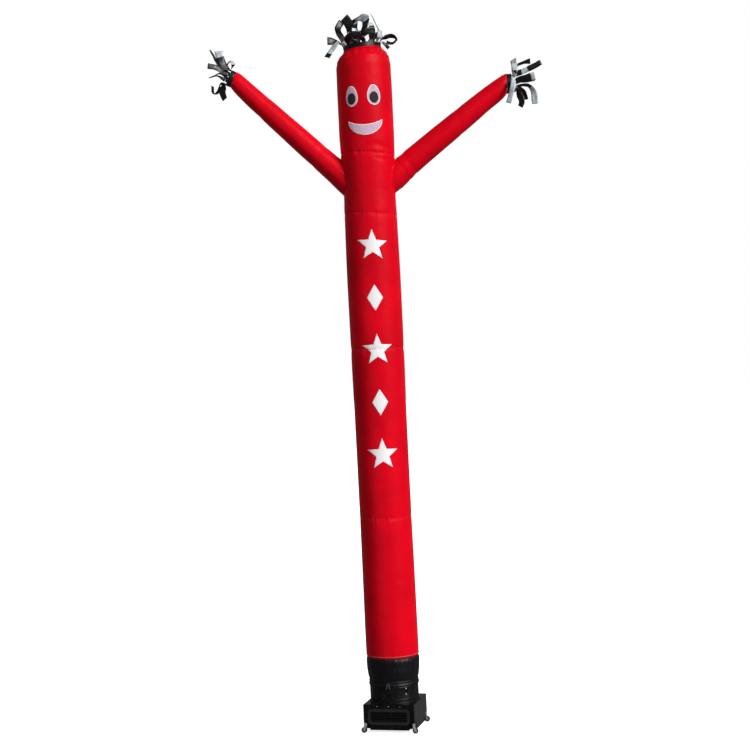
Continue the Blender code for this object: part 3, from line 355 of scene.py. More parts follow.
class DancerBlower(bpy.types.PropertyGroup):
    """The blower's and the casters' colours, and the duct's bead."""

    paint: bpy.props.FloatVectorProperty(
        name="Black paint", description="Colour of the blower's sheet metal", subtype="COLOR",
        size=3, min=0.0, max=1.0, default=(0.0016, 0.0016, 0.0020),
    )
    zinc: bpy.props.FloatVectorProperty(
        name="Zinc plate", description="Colour of the casters and screws", subtype="COLOR",
        size=3, min=0.0, max=1.0, default=(0.50, 0.51, 0.53),
    )
    rubber: bpy.props.FloatVectorProperty(
        name="Rubber", description="Colour of the wheels and the cable gland", subtype="COLOR",
        size=3, min=0.0, max=1.0, default=(0.007, 0.007, 0.0075),
    )
    bead: bpy.props.FloatProperty(
        name="Outlet bead", description="Height of the bead rolled round the outlet",
        unit="LENGTH", min=0.0, max=0.004, default=0.0022, precision=4,
    )


class DancerStage(bpy.types.PropertyGroup):
    """The camera's place and the strength of the light."""

    distance: bpy.props.FloatProperty(
        name="Camera distance", description="From the camera to the tube's axis",
        unit="LENGTH", min=2.0, max=60.0, default=13.133,
    )
    height: bpy.props.FloatProperty(
        name="Camera height", description="Height of the camera above the floor",
        unit="LENGTH", min=0.1, max=10.0, default=3.204,
    )
    roll: bpy.props.FloatProperty(
        name="Camera roll", description="Turn of the camera about its own line of sight",
        subtype="ANGLE", min=-0.5, max=0.5, default=math.radians(2.863),
    )
    turn: bpy.props.FloatProperty(
        name="Camera turn", description="Turn of the camera to the left",
        subtype="ANGLE", min=-0.5, max=0.5, default=math.radians(0.076),
    )
    dip: bpy.props.FloatProperty(
        name="Camera dip", description="How far the camera looks down",
        subtype="ANGLE", min=-0.5, max=0.5, default=math.radians(0.357),
    )
    focal: bpy.props.FloatProperty(
        name="Focal length", description="Focal length on a 36 mm sensor, in millimetres",
        min=10.0, max=300.0, default=71.316,
    )
    light: bpy.props.FloatProperty(
        name="Key light", description="Strength of the key light",
        min=0.0, max=20.0, default=3.9,
    )
    ambient: bpy.props.FloatProperty(
        name="Ambient light", description="Strength of the light from all round",
        min=0.0, max=1.0, default=0.15,
    )


# Making


def start_clean():
    """Leaves edit mode and deselects everything."""
    if bpy.context.object and bpy.context.object.mode != "OBJECT":
        bpy.ops.object.mode_set(mode="OBJECT")
    bpy.ops.object.select_all(action="DESELECT")


def renamed(name):
    """The object an operator has just added, under a piece's name."""
    piece = bpy.context.object
    piece.name = name
    piece.data.name = name
    return piece


def added(name, mesh):
    """A new object that shows this mesh."""
    mesh.name = name
    piece = bpy.data.objects.new(name, mesh)
    bpy.context.scene.collection.objects.link(piece)
    return piece


@contextmanager
def editing(piece):
    """The piece's mesh, while the piece is in edit mode."""
    bpy.context.view_layer.objects.active = piece
    bpy.ops.object.mode_set(mode="EDIT")
    bm = bmesh.from_edit_mesh(piece.data)
    yield bm
    bmesh.update_edit_mesh(piece.data)
    bpy.ops.object.mode_set(mode="OBJECT")


def add_modifier(piece, kind, **settings):
    """Adds a modifier and applies it."""
    start_clean()
    bpy.context.view_layer.objects.active = piece
    piece.select_set(True)
    modifier = piece.modifiers.new(kind.title(), kind)
    for key, value in settings.items():
        setattr(modifier, key, value)
    bpy.ops.object.modifier_apply(modifier=modifier.name)


def put(piece, body, slot, *materials, nodes=(), sharp=None):
    """Gives a piece its finish and its body, and hides the CAD nodes it stands for."""
    start_clean()
    kept = [face.material_index for face in piece.data.polygons]
    piece.data.materials.clear()
    for material in materials:
        piece.data.materials.append(material)
    piece.data.polygons.foreach_set("material_index", kept)
    bpy.context.view_layer.objects.active = piece
    piece.select_set(True)
    if sharp is None:
        bpy.ops.object.shade_smooth()
    else:
        bpy.ops.object.shade_smooth_by_angle(angle=math.radians(sharp))
    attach(piece, body)
    if nodes:
        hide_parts(*nodes)
    start_clean()
    return piece


def copy_node(node, name):
    """A piece with a CAD node's mesh, its loose triangles merged."""
    start_clean()
    piece = added(name, frame["nodes"][node].data.copy())
    bpy.context.view_layer.objects.active = piece
    piece.select_set(True)
    bpy.ops.object.mode_set(mode="EDIT")
    bpy.ops.mesh.select_all(action="SELECT")
    bpy.ops.mesh.remove_doubles(threshold=0.00002)
    bpy.ops.mesh.tris_convert_to_quads(face_threshold=0.9, shape_threshold=1.2)
    bpy.ops.object.mode_set(mode="OBJECT")
    return piece


def add_tube(name, rows, sides, place):
    """An open tube with a ring of corners for each row, put where place(row, turn) says.

    Its UV map is in metres: round the tube, and along it by row.
    """
    start_clean()
    bpy.ops.mesh.primitive_cylinder_add(
        vertices=sides, radius=1.0, depth=1.0, end_fill_type="NOTHING"
    )
    tube = renamed(name)
    bpy.ops.object.mode_set(mode="EDIT")
    bm = bmesh.from_edit_mesh(tube.data)
    bpy.ops.mesh.select_all(action="DESELECT")
    for edge in bm.edges:
        edge.select_set(abs(edge.verts[0].co.z - edge.verts[1].co.z) > 0.5)
    bmesh.update_edit_mesh(tube.data)
    if len(rows) > 2:
        bpy.ops.mesh.subdivide(number_cuts=len(rows) - 2)
    bm = bmesh.from_edit_mesh(tube.data)
    uv = bm.loops.layers.uv.active
    for face in bm.faces:
        for loop in face.loops:
            row = rows[round((loop.vert.co.z + 0.5) * (len(rows) - 1))]
            turn = (loop[uv].uv.x - 0.5) * 2 * math.pi
            loop[uv].uv = (turn * tube_radius(row), row)
    for vert in bm.verts:
        row = rows[round((vert.co.z + 0.5) * (len(rows) - 1))]
        vert.co = place(row, math.atan2(vert.co.x, -vert.co.y))
    bmesh.update_edit_mesh(tube.data)
    bpy.ops.object.mode_set(mode="OBJECT")
    return tube


def rows_between(low, high, step, hems=(0.004, 0.009, 0.017, 0.028)):
    """Heights from low to high, closer together beside both ends."""
    start, end = low + hems[-1], high - hems[-1]
    count = max(1, round((end - start) / step))
    middle = [start + (end - start) * i / count for i in range(count + 1)]
    below = [low] + [low + hem for hem in hems[:-1]]
    above = [high - hem for hem in reversed(hems[:-1])] + [high]
    return below + middle + above


def turns_round(count):
    """This many even turns round a ring."""
    return [2 * math.pi * i / count for i in range(count)]


# The cloth's shape


def eased(part):
    """0 to 1 with a soft start and end, and held beyond them."""
    part = min(max(part, 0.0), 1.0)
    return part * part * (3 - 2 * part)


def bell(distance, reach):
    """1 at no distance, and nearly 0 beyond twice the reach."""
    return math.exp(-((distance / reach) ** 2))


def tube_radius(height):
    """The tube's radius, between its stations."""
    low, radius = STATIONS[0]
    for high, wider in STATIONS[1:]:
        if height <= high:
            return radius + (wider - radius) * eased((height - low) / (high - low))
        low, radius = high, wider
    return radius


def tube_point(height, turn, grow=0.0):
    """A point of the tube before its cloth is drawn in."""
    radius = tube_radius(height) + grow
    across = radius * math.sin(turn)
    tilt = CROWN_TILT * eased((height - CROWN_TILT_FROM) / (CROWN - CROWN_TILT_FROM))
    rising, level, falling, done = SEAM_TILT_RUN
    leaning = eased((height - rising) / (level - rising))
    leaning -= eased((height - falling) / (done - falling))
    tilt += SEAM_TILT * leaning
    return Vector((AXIS_X + across, -radius * math.cos(turn), height + tilt * across))


def around(turn, count, along):
    """Where to read a noise that closes on itself round a tube."""
    return Vector((math.sin(turn) * count, math.cos(turn) * count, along))


def ridged(turn, count, along, seed):
    """0 to 1 round the tube, with narrow ridges about count to a radian."""
    return max(0.0, 1.0 - 2.4 * abs(noise.noise(around(turn, count, along + seed))))


def drawn_in(height, turn, cloth):
    """How far seams, folds, gathers and slack draw the cloth in."""
    full, start, run = TUBE_FULL
    depth = -full * eased((height - start) / run)
    for seam, pull in SEAMS:
        off = abs(height - seam)
        if off < PUCKER_END:
            depth += pull * bell(off, SEAM_REACH)
            fan = ridged(turn, 8.0, 3.0 * (height - seam), 11.0 * seam)
            depth += cloth.pucker * fan * math.exp(-off / PUCKER_REACH)
    for place, reach, pull, facing, span in FOLDS:
        off = height - place
        if abs(off) < 4 * reach:
            side = abs((turn - facing + math.pi) % (2 * math.pi) - math.pi)
            wander = 0.4 * reach * math.sin(5.0 * turn)
            depth += pull * bell(off - wander, reach) * eased(1.0 - side / span)
    for place, reach, pull in GATHERS:
        depth += pull * bell(height - place, reach) * (1 - math.cos(PLEATS * turn))
    start, run, pull = CROWN_CRUMPLE
    if height > start:
        depth += pull * ridged(turn, 10.0, 2.0 * height, 3.0) * eased((height - start) / run)
    start, run, pull = COLLAR_CRUMPLE
    if height < start:
        depth += pull * ridged(turn, 7.0, 3.0 * height, 8.0) * eased((start - height) / run)
    depth += cloth.slack * 0.5 * (noise.noise(around(turn, 1.4, height * 1.7)) + 0.4)
    fine = noise.noise(around(turn, 1.8, height * 15.0))
    depth += cloth.slack * 0.32 * max(0.0, fine - 0.1)
    full, low, rise, high, fall = COLLAR_FULL
    depth -= full * eased((height - low) / rise) * eased((high + fall - height) / fall)
    if height < DUCT_REACH:
        flare, start, run = HEM_FLARE
        depth -= flare * eased((start - height) / run)
        depth = min(depth, tube_radius(height) - COLLAR_LEAST)
    return depth


def cloth_point(height, turn, grow=0.0):
    """A point of the finished cloth, or this far off it."""
    cloth = bpy.context.scene.dancer_cloth
    return tube_point(height, turn, grow - drawn_in(height, turn, cloth))


def facing_out(at, first, second):
    """The point at(first, second), with its surface's directions along and outwards."""
    step = 0.004
    point = at(first, second)
    along = (at(first, second + step * 4) - point).normalized()
    up = (at(first + step, second) - point).normalized()
    return point, along, along.cross(up).normalized()


def sleeve_frame(side):
    """A sleeve's root, its directions out, up and across, and its length."""
    root, hand = SLEEVES[side].root, SLEEVES[side].hand
    start = Vector((AXIS_X + root[0], 0.0, root[1]))
    reach = Vector((AXIS_X + hand[0], 0.0, hand[1])) - start
    out = reach.normalized()
    up = (Vector((0.0, 0.0, 1.0)) - out * out.z).normalized()
    return start, out, up, out.cross(up), reach.length


def sleeve_radius(side, along, length):
    """A sleeve's radius this far along it: a taper, filled out and creased."""
    sleeve = SLEEVES[side]
    radius = sleeve.wide + (sleeve.narrow - sleeve.wide) * max(along, 0.0) / length
    flare, fade = ROOT_FLARE
    radius += flare * math.exp(-max(along, 0.0) / fade)
    cuff = 1.0 - math.exp(-max(length - along, 0.0) / SLEEVE_CUFF)
    radius += sleeve.full * eased(along / (0.7 * length)) * cuff
    for place, reach, pull in sleeve.creases:
        radius -= pull * bell(along - place, reach)
    return radius


def sleeve_point(side, along, turn, grow=0.0):
    """A point this far along a sleeve and this far round it, from its upper side."""
    start, out, up, across, length = sleeve_frame(side)
    radius = sleeve_radius(side, along, length) + grow
    slant = SLEEVES[side].slant * eased(along / length) * radius * math.cos(turn)
    outward = up * math.cos(turn) + across * math.sin(turn)
    lift = eased(along / 0.3) * eased((length - along) / 0.25)
    lift = up * (SLEEVES[side].lift * lift)
    return start + out * (along + slant) + outward * radius + lift


def sleeve_start(side, turn):
    """How far along the sleeve its cloth meets the tube, at this turn."""
    low, high = ROOT_SEARCH
    for _ in range(26):
        middle = (low + high) / 2
        point = sleeve_point(side, middle, turn)
        if math.hypot(point.x - AXIS_X, point.y) < tube_radius(point.z) - ROOT_SINK:
            low = middle
        else:
            high = middle
    return high


def sleeve_cloth(side, share, turn, grow=0.0):
    """A point of the sleeve's cloth; share runs from the tube, 0, to the hand, 1."""
    cloth = bpy.context.scene.dancer_cloth
    length = sleeve_frame(side)[4]
    start = sleeve_start(side, turn)
    along = start + (length - start) * share
    near, rim = along - start, length - along
    seed = SLEEVES[side].seed
    depth = cloth.pucker * 1.1 * ridged(turn, 4.0, 4.0 * near, seed) * math.exp(-near / 0.05)
    depth *= eased(near / 0.012)
    depth += cloth.pucker * 0.5 * ridged(turn, 3.0, 5.0 * rim, seed) * math.exp(-rim / 0.03)
    broad = noise.noise(around(turn, 1.2, along * 5.0 + seed))
    depth += cloth.slack * 0.5 * (broad + 0.3) * eased(near / 0.05)
    fine = noise.noise(around(turn, 1.5, along * 18.0 + seed))
    depth += cloth.slack * 0.3 * max(0.0, fine - 0.1)
    return sleeve_point(side, along, turn, grow - depth)


# Materials


def add_node(tree, kind, inputs=None, **settings):
    """A node with its settings, and its inputs linked or set."""
    made = tree.nodes.new("ShaderNode" + kind)
    for key, value in settings.items():
        setattr(made, key, value)
    for key, value in (inputs or {}).items():
        if isinstance(value, bpy.types.NodeSocket):
            tree.links.new(value, made.inputs[key])
        else:
            made.inputs[key].default_value = value
    return made


def reckoned(tree, operation, *values):
    """What a Math node makes of these values."""
    return add_node(tree, "Math", dict(enumerate(values)), operation=operation).outputs[0]


def ranged(tree, value, low=0.0, high=1.0, least=0.0, most=1.0):
    """A value stretched from low and high to least and most, and held there."""
    ends = {"Value": value, "From Min": low, "From Max": high, "To Min": least, "To Max": most}
    return add_node(tree, "MapRange", ends).outputs["Result"]


def patches(tree, where, scale, detail, distortion=0.0):
    """A noise of 0 to 1 in patches of about 1 / scale metres."""
    inputs = {"Vector": where, "Scale": scale, "Detail": detail, "Distortion": distortion}
    return add_node(tree, "TexNoise", inputs).outputs["Fac"]


def threads(tree, where, pitch, direction):
    """0 to 1 across parallel threads this far apart."""
    inputs = {"Vector": where, "Scale": 2 * math.pi / (20 * pitch)}
    return add_node(tree, "TexWave", inputs, bands_direction=direction).outputs["Fac"]


def blended(tree, share, first, second):
    """The first colour, or the second as the share nears 1."""
    ends = [
        end if isinstance(end, bpy.types.NodeSocket) else (*end, 1.0) for end in (first, second)
    ]
    return add_node(tree, "Mix", {0: share, 6: ends[0], 7: ends[1]}, data_type="RGBA").outputs[2]


def toned(colour, share, more=0.0):
    """A share of a colour, with a little added to each channel."""
    return tuple(share * channel + more for channel in colour)


def new_material(name, colour, uniform=None):
    """(material, its tree, its shader) with its uniform values on the shader's own sockets."""
    material = bpy.data.materials.new(name)
    material.use_nodes = True
    material.diffuse_color = (*colour, 1.0)
    tree = material.node_tree
    shader = tree.nodes["Principled BSDF"]
    shader.inputs["Base Color"].default_value = (*colour, 1.0)
    for key, value in (uniform or {}).items():
        shader.inputs[key].default_value = value
    return material, tree, shader


def bumped(tree, shader, *layers):
    """Lays bumps one over another: (height, distance) pairs, the broadest first."""
    normal = None
    for height, distance in layers:
        inputs = {"Height": height, "Distance": distance, "Strength": 1.0}
        if normal:
            inputs["Normal"] = normal
        normal = add_node(tree, "Bump", inputs).outputs["Normal"]
    tree.links.new(normal, shader.inputs["Normal"])


def drifting(name, space, colours, run, rough, uniform=None):
    """(material, tree, shader, where) of a finish that drifts in patches.

    Its colour goes from the first to the second, and its roughness between two values.
    run holds the patches' scale, where they begin and end in the noise, and its detail.
    """
    material, tree, shader = new_material(name, colours[0], uniform)
    where = add_node(tree, "TexCoord").outputs[space]
    scale, low, high, detail = run
    spread = ranged(tree, patches(tree, where, scale, detail), low, high)
    tree.links.new(blended(tree, spread, *colours), shader.inputs["Base Color"])
    gloss = ranged(tree, spread, least=rough[0], most=rough[1])
    tree.links.new(gloss, shader.inputs["Roughness"])
    return material, tree, shader, where


def nylon(name, colour, shine, crinkle=1.0, level=0.2):
    """Thin coated ripstop nylon: a fine weave, thicker threads in squares, soft crinkles."""
    square = bpy.context.scene.dancer_cloth.square
    material, tree, shader, where = drifting(
        name,
        "UV",
        (colour, toned(colour, 0.72)),
        (2.3, 0.30, 0.75, 3.0),
        (shine - 0.04, shine + 0.05),
        {"Specular IOR Level": level},
    )
    weave = reckoned(tree, "MULTIPLY", *(threads(tree, where, WEAVE, way) for way in "XY"))
    ribs = [reckoned(tree, "POWER", threads(tree, where, square, way), 14.0) for way in "XY"]
    bumped(
        tree,
        shader,
        (patches(tree, where, 9.0, 4.0, 0.6), 0.0040 * crinkle),
        (patches(tree, where, 55.0, 3.0, 1.2), 0.0005 * crinkle),
        (reckoned(tree, "MAXIMUM", *ribs), 0.00012),
        (weave, 0.00006),
    )
    return material


def coated(name, colour, shine):
    """Thin coated cloth of the streamers: creased film with a fine grain."""
    material, tree, shader, where = drifting(
        name,
        "Object",
        (colour, toned(colour, 0.5)),
        (26.0, 0.40, 0.75, 3.0),
        (shine, shine + 0.18),
        {"Specular IOR Level": 0.45},
    )
    creases = patches(tree, where, 38.0, 4.0, 1.0)
    bumped(tree, shader, (creases, 0.0020), (patches(tree, where, 900.0, 2.0), 0.00012))
    return material


def open_mesh(name, colour, hole):
    """Fine open mesh cloth, its holes painted dark red as painted shade of what lies behind them.
    """
    material, tree, shader = new_material(name, colour, {"Roughness": 0.7, "Sheen Weight": 0.2})
    where = add_node(tree, "TexCoord").outputs["UV"]
    net = reckoned(tree, "MAXIMUM", *(threads(tree, where, MESH_HOLE, way) for way in "XY"))
    solid = ranged(tree, net, 0.55, 0.85)
    tree.links.new(blended(tree, solid, hole, colour), shader.inputs["Base Color"])
    bumped(tree, shader, (solid, 0.0003))
    return material


def painted_steel(name, colour, dull, coat):
    """Paint on thin sheet: slight waves in the sheet, scuffs, worn marks and fine dust."""
    material, tree, shader = new_material(
        name, colour, {"Coat Weight": coat, "Coat Roughness": 0.10, "Specular IOR Level": 0.20}
    )
    where = add_node(tree, "TexCoord").outputs["Object"]
    spread = ranged(tree, patches(tree, where, 14.0, 6.0), 0.50, 0.85)
    dusty = blended(tree, spread, colour, toned(colour, 1.0, 0.003))
    worn = ranged(tree, patches(tree, where, 46.0, 12.0, 0.5), 0.56, 0.80)
    tree.links.new(blended(tree, worn, dusty, WORN_PAINT), shader.inputs["Base Color"])
    scuffs = patches(tree, where, 60.0, 8.0, 2.0)
    rough = ranged(tree, scuffs, low=0.4, least=dull, most=dull + 0.16)
    tree.links.new(rough, shader.inputs["Roughness"])
    waves = patches(tree, where, 11.0, 1.5)
    bumped(tree, shader, (waves, 0.006), (patches(tree, where, 700.0, 1.0), 0.00004))
    return material


def bright_metal(name, colour, rough):
    """Zinc plate or bare rivet: faint spangle and wear."""
    material, tree, shader, where = drifting(
        name,
        "Object",
        (colour, toned(colour, 0.6)),
        (160.0, 0.45, 0.75, 3.0),
        (rough, rough + 0.2),
        {"Metallic": 0.65},
    )
    bumped(tree, shader, (patches(tree, where, 900.0, 2.0), 0.00005))
    return material


def moulded(name, colour, rough):
    """Thread, rubber or plastic with a faint grain and floor dust."""
    material, tree, shader, where = drifting(
        name,
        "Object",
        (colour, toned(colour, 1.2, 0.012)),
        (90.0, 0.50, 0.80, 5.0),
        (rough, rough + 0.25),
    )
    bumped(tree, shader, (patches(tree, where, 1200.0, 2.0), 0.00008))
    return material


def finish(name):
    """The finish of this name, made the first time it is asked for."""
    made = bpy.data.materials.get(name)
    if made:
        return made
    cloth = bpy.context.scene.dancer_cloth
    blower = bpy.context.scene.dancer_blower
    maker, *settings = {
        "tube_nylon": (nylon, cloth.red, 0.40, 1.0, 0.06),
        "collar_nylon": (nylon, cloth.black, 0.43, 1.6, 0.24),
        "white_cloth": (nylon, cloth.white, 0.50, 0.3),
        "pupil_cloth": (nylon, cloth.black, 0.55, 0.3, 0.12),
        # The hem ridge's lighter pink is a painted highlight.
        "hem_ridge": (nylon, (0.66, 0.07, 0.11), 0.35, 0.3),
        # The hem strip's darkened red is a painted shadow under the ridge.
        "hem_strip": (nylon, toned(cloth.red, 0.4), 0.5),
        # The dark red given for the holes is painted shade seen through the mesh.
        "mesh_cloth": (open_mesh, cloth.mesh_grey, (0.20, 0.03, 0.05)),
        "band_black": (coated, cloth.black, 0.36),
        "band_silver": (coated, cloth.silver, 0.30),
        "tie_cord": (coated, (0.045, 0.046, 0.050), 0.3),
        "red_thread": (moulded, (0.72, 0.09, 0.12), 0.5),
        "edge_thread": (moulded, (0.20, 0.07, 0.14), 0.5),
        "white_thread": (moulded, toned(cloth.white, 0.85), 0.5),
        "black_thread": (moulded, toned(cloth.black, 1.0, 0.02), 0.5),
        "gloss_paint": (painted_steel, blower.paint, 0.12, 0.08),
        "duct_paint": (painted_steel, blower.paint, 0.42, 0.0),
        # Far lighter than the housing's black paint: a painted reflection on the recessed slats.
        "louvre_paint": (painted_steel, (0.016, 0.016, 0.018), 0.16, 0.2),
        "zinc_plate": (bright_metal, blower.zinc, 0.28),
        "rivet_metal": (bright_metal, (0.80, 0.80, 0.80), 0.22),
        "wheel_rubber": (moulded, blower.rubber, 0.55),
        "hub_plastic": (moulded, (0.06, 0.06, 0.064), 0.35),
    }[name]
    return maker(name, *settings)


# Sewing


def sew(name, lines, thread, body="body"):
    """Stitches along lines of (point, direction along, direction out), one mesh in all."""
    cloth = bpy.context.scene.dancer_cloth
    start_clean()
    bpy.ops.mesh.primitive_uv_sphere_add(segments=5, ring_count=3, radius=0.5)
    stitch = renamed(name + "_one")
    shape_one = stitch.data.copy()
    bpy.data.objects.remove(stitch)
    size = Matrix.Diagonal((0.62 * cloth.stitch, *THREAD_SIZE, 1.0))
    bm = bmesh.new()
    for line in lines:
        for point, along, out in line:
            side = out.cross(along).normalized()
            turn = Matrix((along, side, out)).transposed().to_4x4()
            one = shape_one.copy()
            one.transform(Matrix.Translation(point) @ turn @ size)
            bm.from_mesh(one)
            bpy.data.meshes.remove(one)
    mesh = bpy.data.meshes.new(name)
    bm.to_mesh(mesh)
    bm.free()
    bpy.data.meshes.remove(shape_one)
    return put(added(name, mesh), body, thread[1], finish(thread[0]))


def ring_of_stitches(height, pitch):
    """One row of stitches round the tube."""
    count = round(2 * math.pi * tube_radius(height) / pitch)
    return [
        facing_out(lambda h, t: cloth_point(h, t, STITCH_LIFT), height, turn)
        for turn in turns_round(count)
    ]


def add_fold(name, rows, heights, place, look=RED, sides=ROUND, wall=0.0008, nodes=()):
    """A fold or tape round a tube: each of its rows stands its own height off the cloth."""
    rise = dict(zip(rows, heights))
    fold = add_tube(name, rows, sides, lambda row, turn: place(row, turn, rise[row]))
    add_modifier(fold, "SOLIDIFY", thickness=wall, offset=-1.0)
    put(fold, "body", look[0], finish(look[1]), nodes=nodes)


# Patches


def cut_in_squares(bm):
    """Cuts a flat patch in small squares, so that it can bend."""
    for axis in (0, 1):
        reach = max(abs(vert.co[axis]) for vert in bm.verts)
        steps = int(reach / PATCH_SQUARE)
        way = Vector((0.0, 0.0, 0.0))
        way[axis] = 1.0
        for i in range(-steps, steps + 1):
            line = way * (PATCH_SQUARE * i)
            everything = bm.verts[:] + bm.edges[:] + bm.faces[:]
            bmesh.ops.bisect_plane(bm, geom=everything, dist=0.0002, plane_co=line, plane_no=way)


def add_patch(name, outline, height, facing, lift, border=0.0):
    """A flat piece laid round the tube: outline is in metres across and up."""
    start_clean()
    bpy.ops.mesh.primitive_circle_add(vertices=len(outline), radius=1.0, fill_type="NGON")
    patch = renamed(name)
    bpy.ops.object.mode_set(mode="EDIT")
    bm = bmesh.from_edit_mesh(patch.data)
    bm.verts.ensure_lookup_table()
    for vert, (across, up) in zip(bm.verts, outline):
        vert.co = (across, up, 0.0)
    bmesh.update_edit_mesh(patch.data)
    bpy.ops.mesh.select_all(action="SELECT")
    bpy.ops.mesh.normals_make_consistent(inside=False)
    if border:
        bpy.ops.mesh.inset(thickness=border)
    bm = bmesh.from_edit_mesh(patch.data)
    for face in bm.faces:
        face.material_index = int(bool(border) and face.select)
    cut_in_squares(bm)
    uv = bm.loops.layers.uv.verify()
    for face in bm.faces:
        for loop in face.loops:
            loop[uv].uv = (loop.vert.co.x, loop.vert.co.y)
    radius = tube_radius(height)
    for vert in bm.verts:
        vert.co = cloth_point(height + vert.co.y, facing + vert.co.x / radius, lift)
    axis = Vector((AXIS_X, 0.0, height))
    outward = sum(face.normal.dot(face.calc_center_median() - axis) for face in bm.faces)
    if outward < 0:
        bmesh.ops.reverse_faces(bm, faces=bm.faces)
    bmesh.update_edit_mesh(patch.data)
    bpy.ops.object.mode_set(mode="OBJECT")
    add_modifier(patch, "SOLIDIFY", thickness=0.0007, offset=1.0)
    return patch


def stitched_edge(outline, height, facing, inset, lift, pitch):
    """Stitches a little inside an outline that is laid round the tube."""
    radius = tube_radius(height)
    corners = [Vector(corner) for corner in outline]
    stitches = []
    for first, second in zip(corners, corners[1:] + corners[:1]):
        run = second - first
        inward = Vector((-run.y, run.x)).normalized() * inset
        count = max(1, round(run.length / pitch))
        for i in range(count):
            flat = first.lerp(second, (i + 0.5) / count) + inward
            point, ahead = (
                cloth_point(height + place.y, facing + place.x / radius, lift)
                for place in (flat, flat + run.normalized() * 0.002)
            )
            out = Vector((point.x - AXIS_X, point.y, 0.0)).normalized()
            along = (ahead - point).normalized()
            stitches.append((point, along, (out - along * out.dot(along)).normalized()))
    return stitches


def oval(half_across, half_up, egg=0.0, points=56):
    """An oval, narrower at its top by the egg share, run anticlockwise."""
    return [
        (half_across * math.cos(turn) * (1 - egg * math.sin(turn)), half_up * math.sin(turn))
        for turn in turns_round(points)
    ]


def smile(half=0.158, rise=0.041, depth=0.092, points=30):
    """A crescent with blunt ends, run anticlockwise from its left end."""
    lower, upper = [], []
    for i in range(points + 1):
        part = math.cos(math.pi * i / points)
        lift = rise * part * part
        lower.append((-half * part, lift - depth * max(0.0, 1 - part * part) ** 0.38))
        upper.append((half * part, lift))
    return lower + upper[1:-1]


def star(points, outer, inner):
    """A star, or a diamond when it has two points, run anticlockwise."""
    turns = [math.pi * i / points + math.pi / 2 for i in range(2 * points)]
    reaches = [inner if i % 2 else outer for i in range(2 * points)]
    return [(reach * math.cos(turn), reach * math.sin(turn)) for turn, reach in zip(turns, reaches)]


def tilted(outline):
    """The outline with the face's tilt, its right side up."""
    cosine, sine = math.cos(FACE_TILT), math.sin(FACE_TILT)
    return [(x * cosine - z * sine, x * sine + z * cosine) for x, z in outline]


# Operators


class DANCER_OT_panels(bpy.types.Operator):
    """Make the tube's six panels of inflated nylon, drawn in at their seams."""

    bl_idname = "dancer.panels"
    bl_label = "Tube panels"

    def execute(self, context):
        wall = context.scene.dancer_cloth.thickness
        for name, low, high in PANELS:
            panel = add_tube(f"{name}_cloth", self.rows(name, low, high), ROUND, cloth_point)
            add_modifier(panel, "SOLIDIFY", thickness=wall, offset=-1.0)
            if name == "shoulder":
                for side in SLEEVES:
                    self.open_side(panel, side)
            slot, look = BLACK if name == "collar" else RED
            put(panel, "body", slot, finish(look), nodes=[f"{name}_panel"])
        return {"FINISHED"}

    def rows(self, name, low, high):
        """The heights of a panel's rings, a hair clear of the panels beside it."""
        if name == "collar":
            return [low + (high - low - 2 * PANEL_GAP) * i / 30 for i in range(31)]
        rows = rows_between(low + PANEL_GAP, high - PANEL_GAP, 0.020)
        if name == "head":
            start, step = CROWN_ROWS
            rows = [row for row in rows if row < start - 0.01]
            rows += [start + step * i for i in range(19)] + [high - 0.003, high - PANEL_GAP]
        return rows

    def open_side(self, panel, side):
        """Cuts the hole that lets air into a sleeve."""
        start, out, _, _, length = sleeve_frame(side)
        start_clean()
        bpy.ops.mesh.primitive_cone_add(
            vertices=72,
            radius1=sleeve_radius(side, -HOLE_REACH, length) - HOLE_INSET,
            radius2=sleeve_radius(side, HOLE_REACH, length) - HOLE_INSET,
            depth=2 * HOLE_REACH,
        )
        cutter = renamed(f"{side}_opening_cutter")
        turned = out.to_track_quat("Z", "Y").to_matrix().to_4x4()
        cutter.data.transform(Matrix.Translation(start) @ turned)
        add_modifier(panel, "BOOLEAN", object=cutter, operation="DIFFERENCE", solver="EXACT")
        bpy.data.objects.remove(cutter)


class DANCER_OT_sleeves(bpy.types.Operator):
    """Make the two raised sleeves, with puckers where they are sewn to the tube."""

    bl_idname = "dancer.sleeves"
    bl_label = "Sleeves"

    def execute(self, context):
        wall = context.scene.dancer_cloth.thickness
        rows = [0.0, 0.004, 0.008, 0.013, 0.019, 0.026]
        rows += [0.034 + (0.986 - 0.034) * i / 84 for i in range(85)] + [0.993, 1.0]
        for side in SLEEVES:
            length = sleeve_frame(side)[4]
            sleeve = add_tube(
                f"{side}_sleeve",
                rows,
                SLEEVE_ROUND,
                lambda share, turn: sleeve_cloth(side, share, turn),
            )
            for loop in sleeve.data.uv_layers.active.data:
                loop.uv = (loop.uv[0] * 0.4, loop.uv[1] * length)
            add_modifier(sleeve, "SOLIDIFY", thickness=wall, offset=-1.0)
            put(sleeve, "body", RED[0], finish(RED[1]), nodes=[f"{side}_arm"])
        return {"FINISHED"}


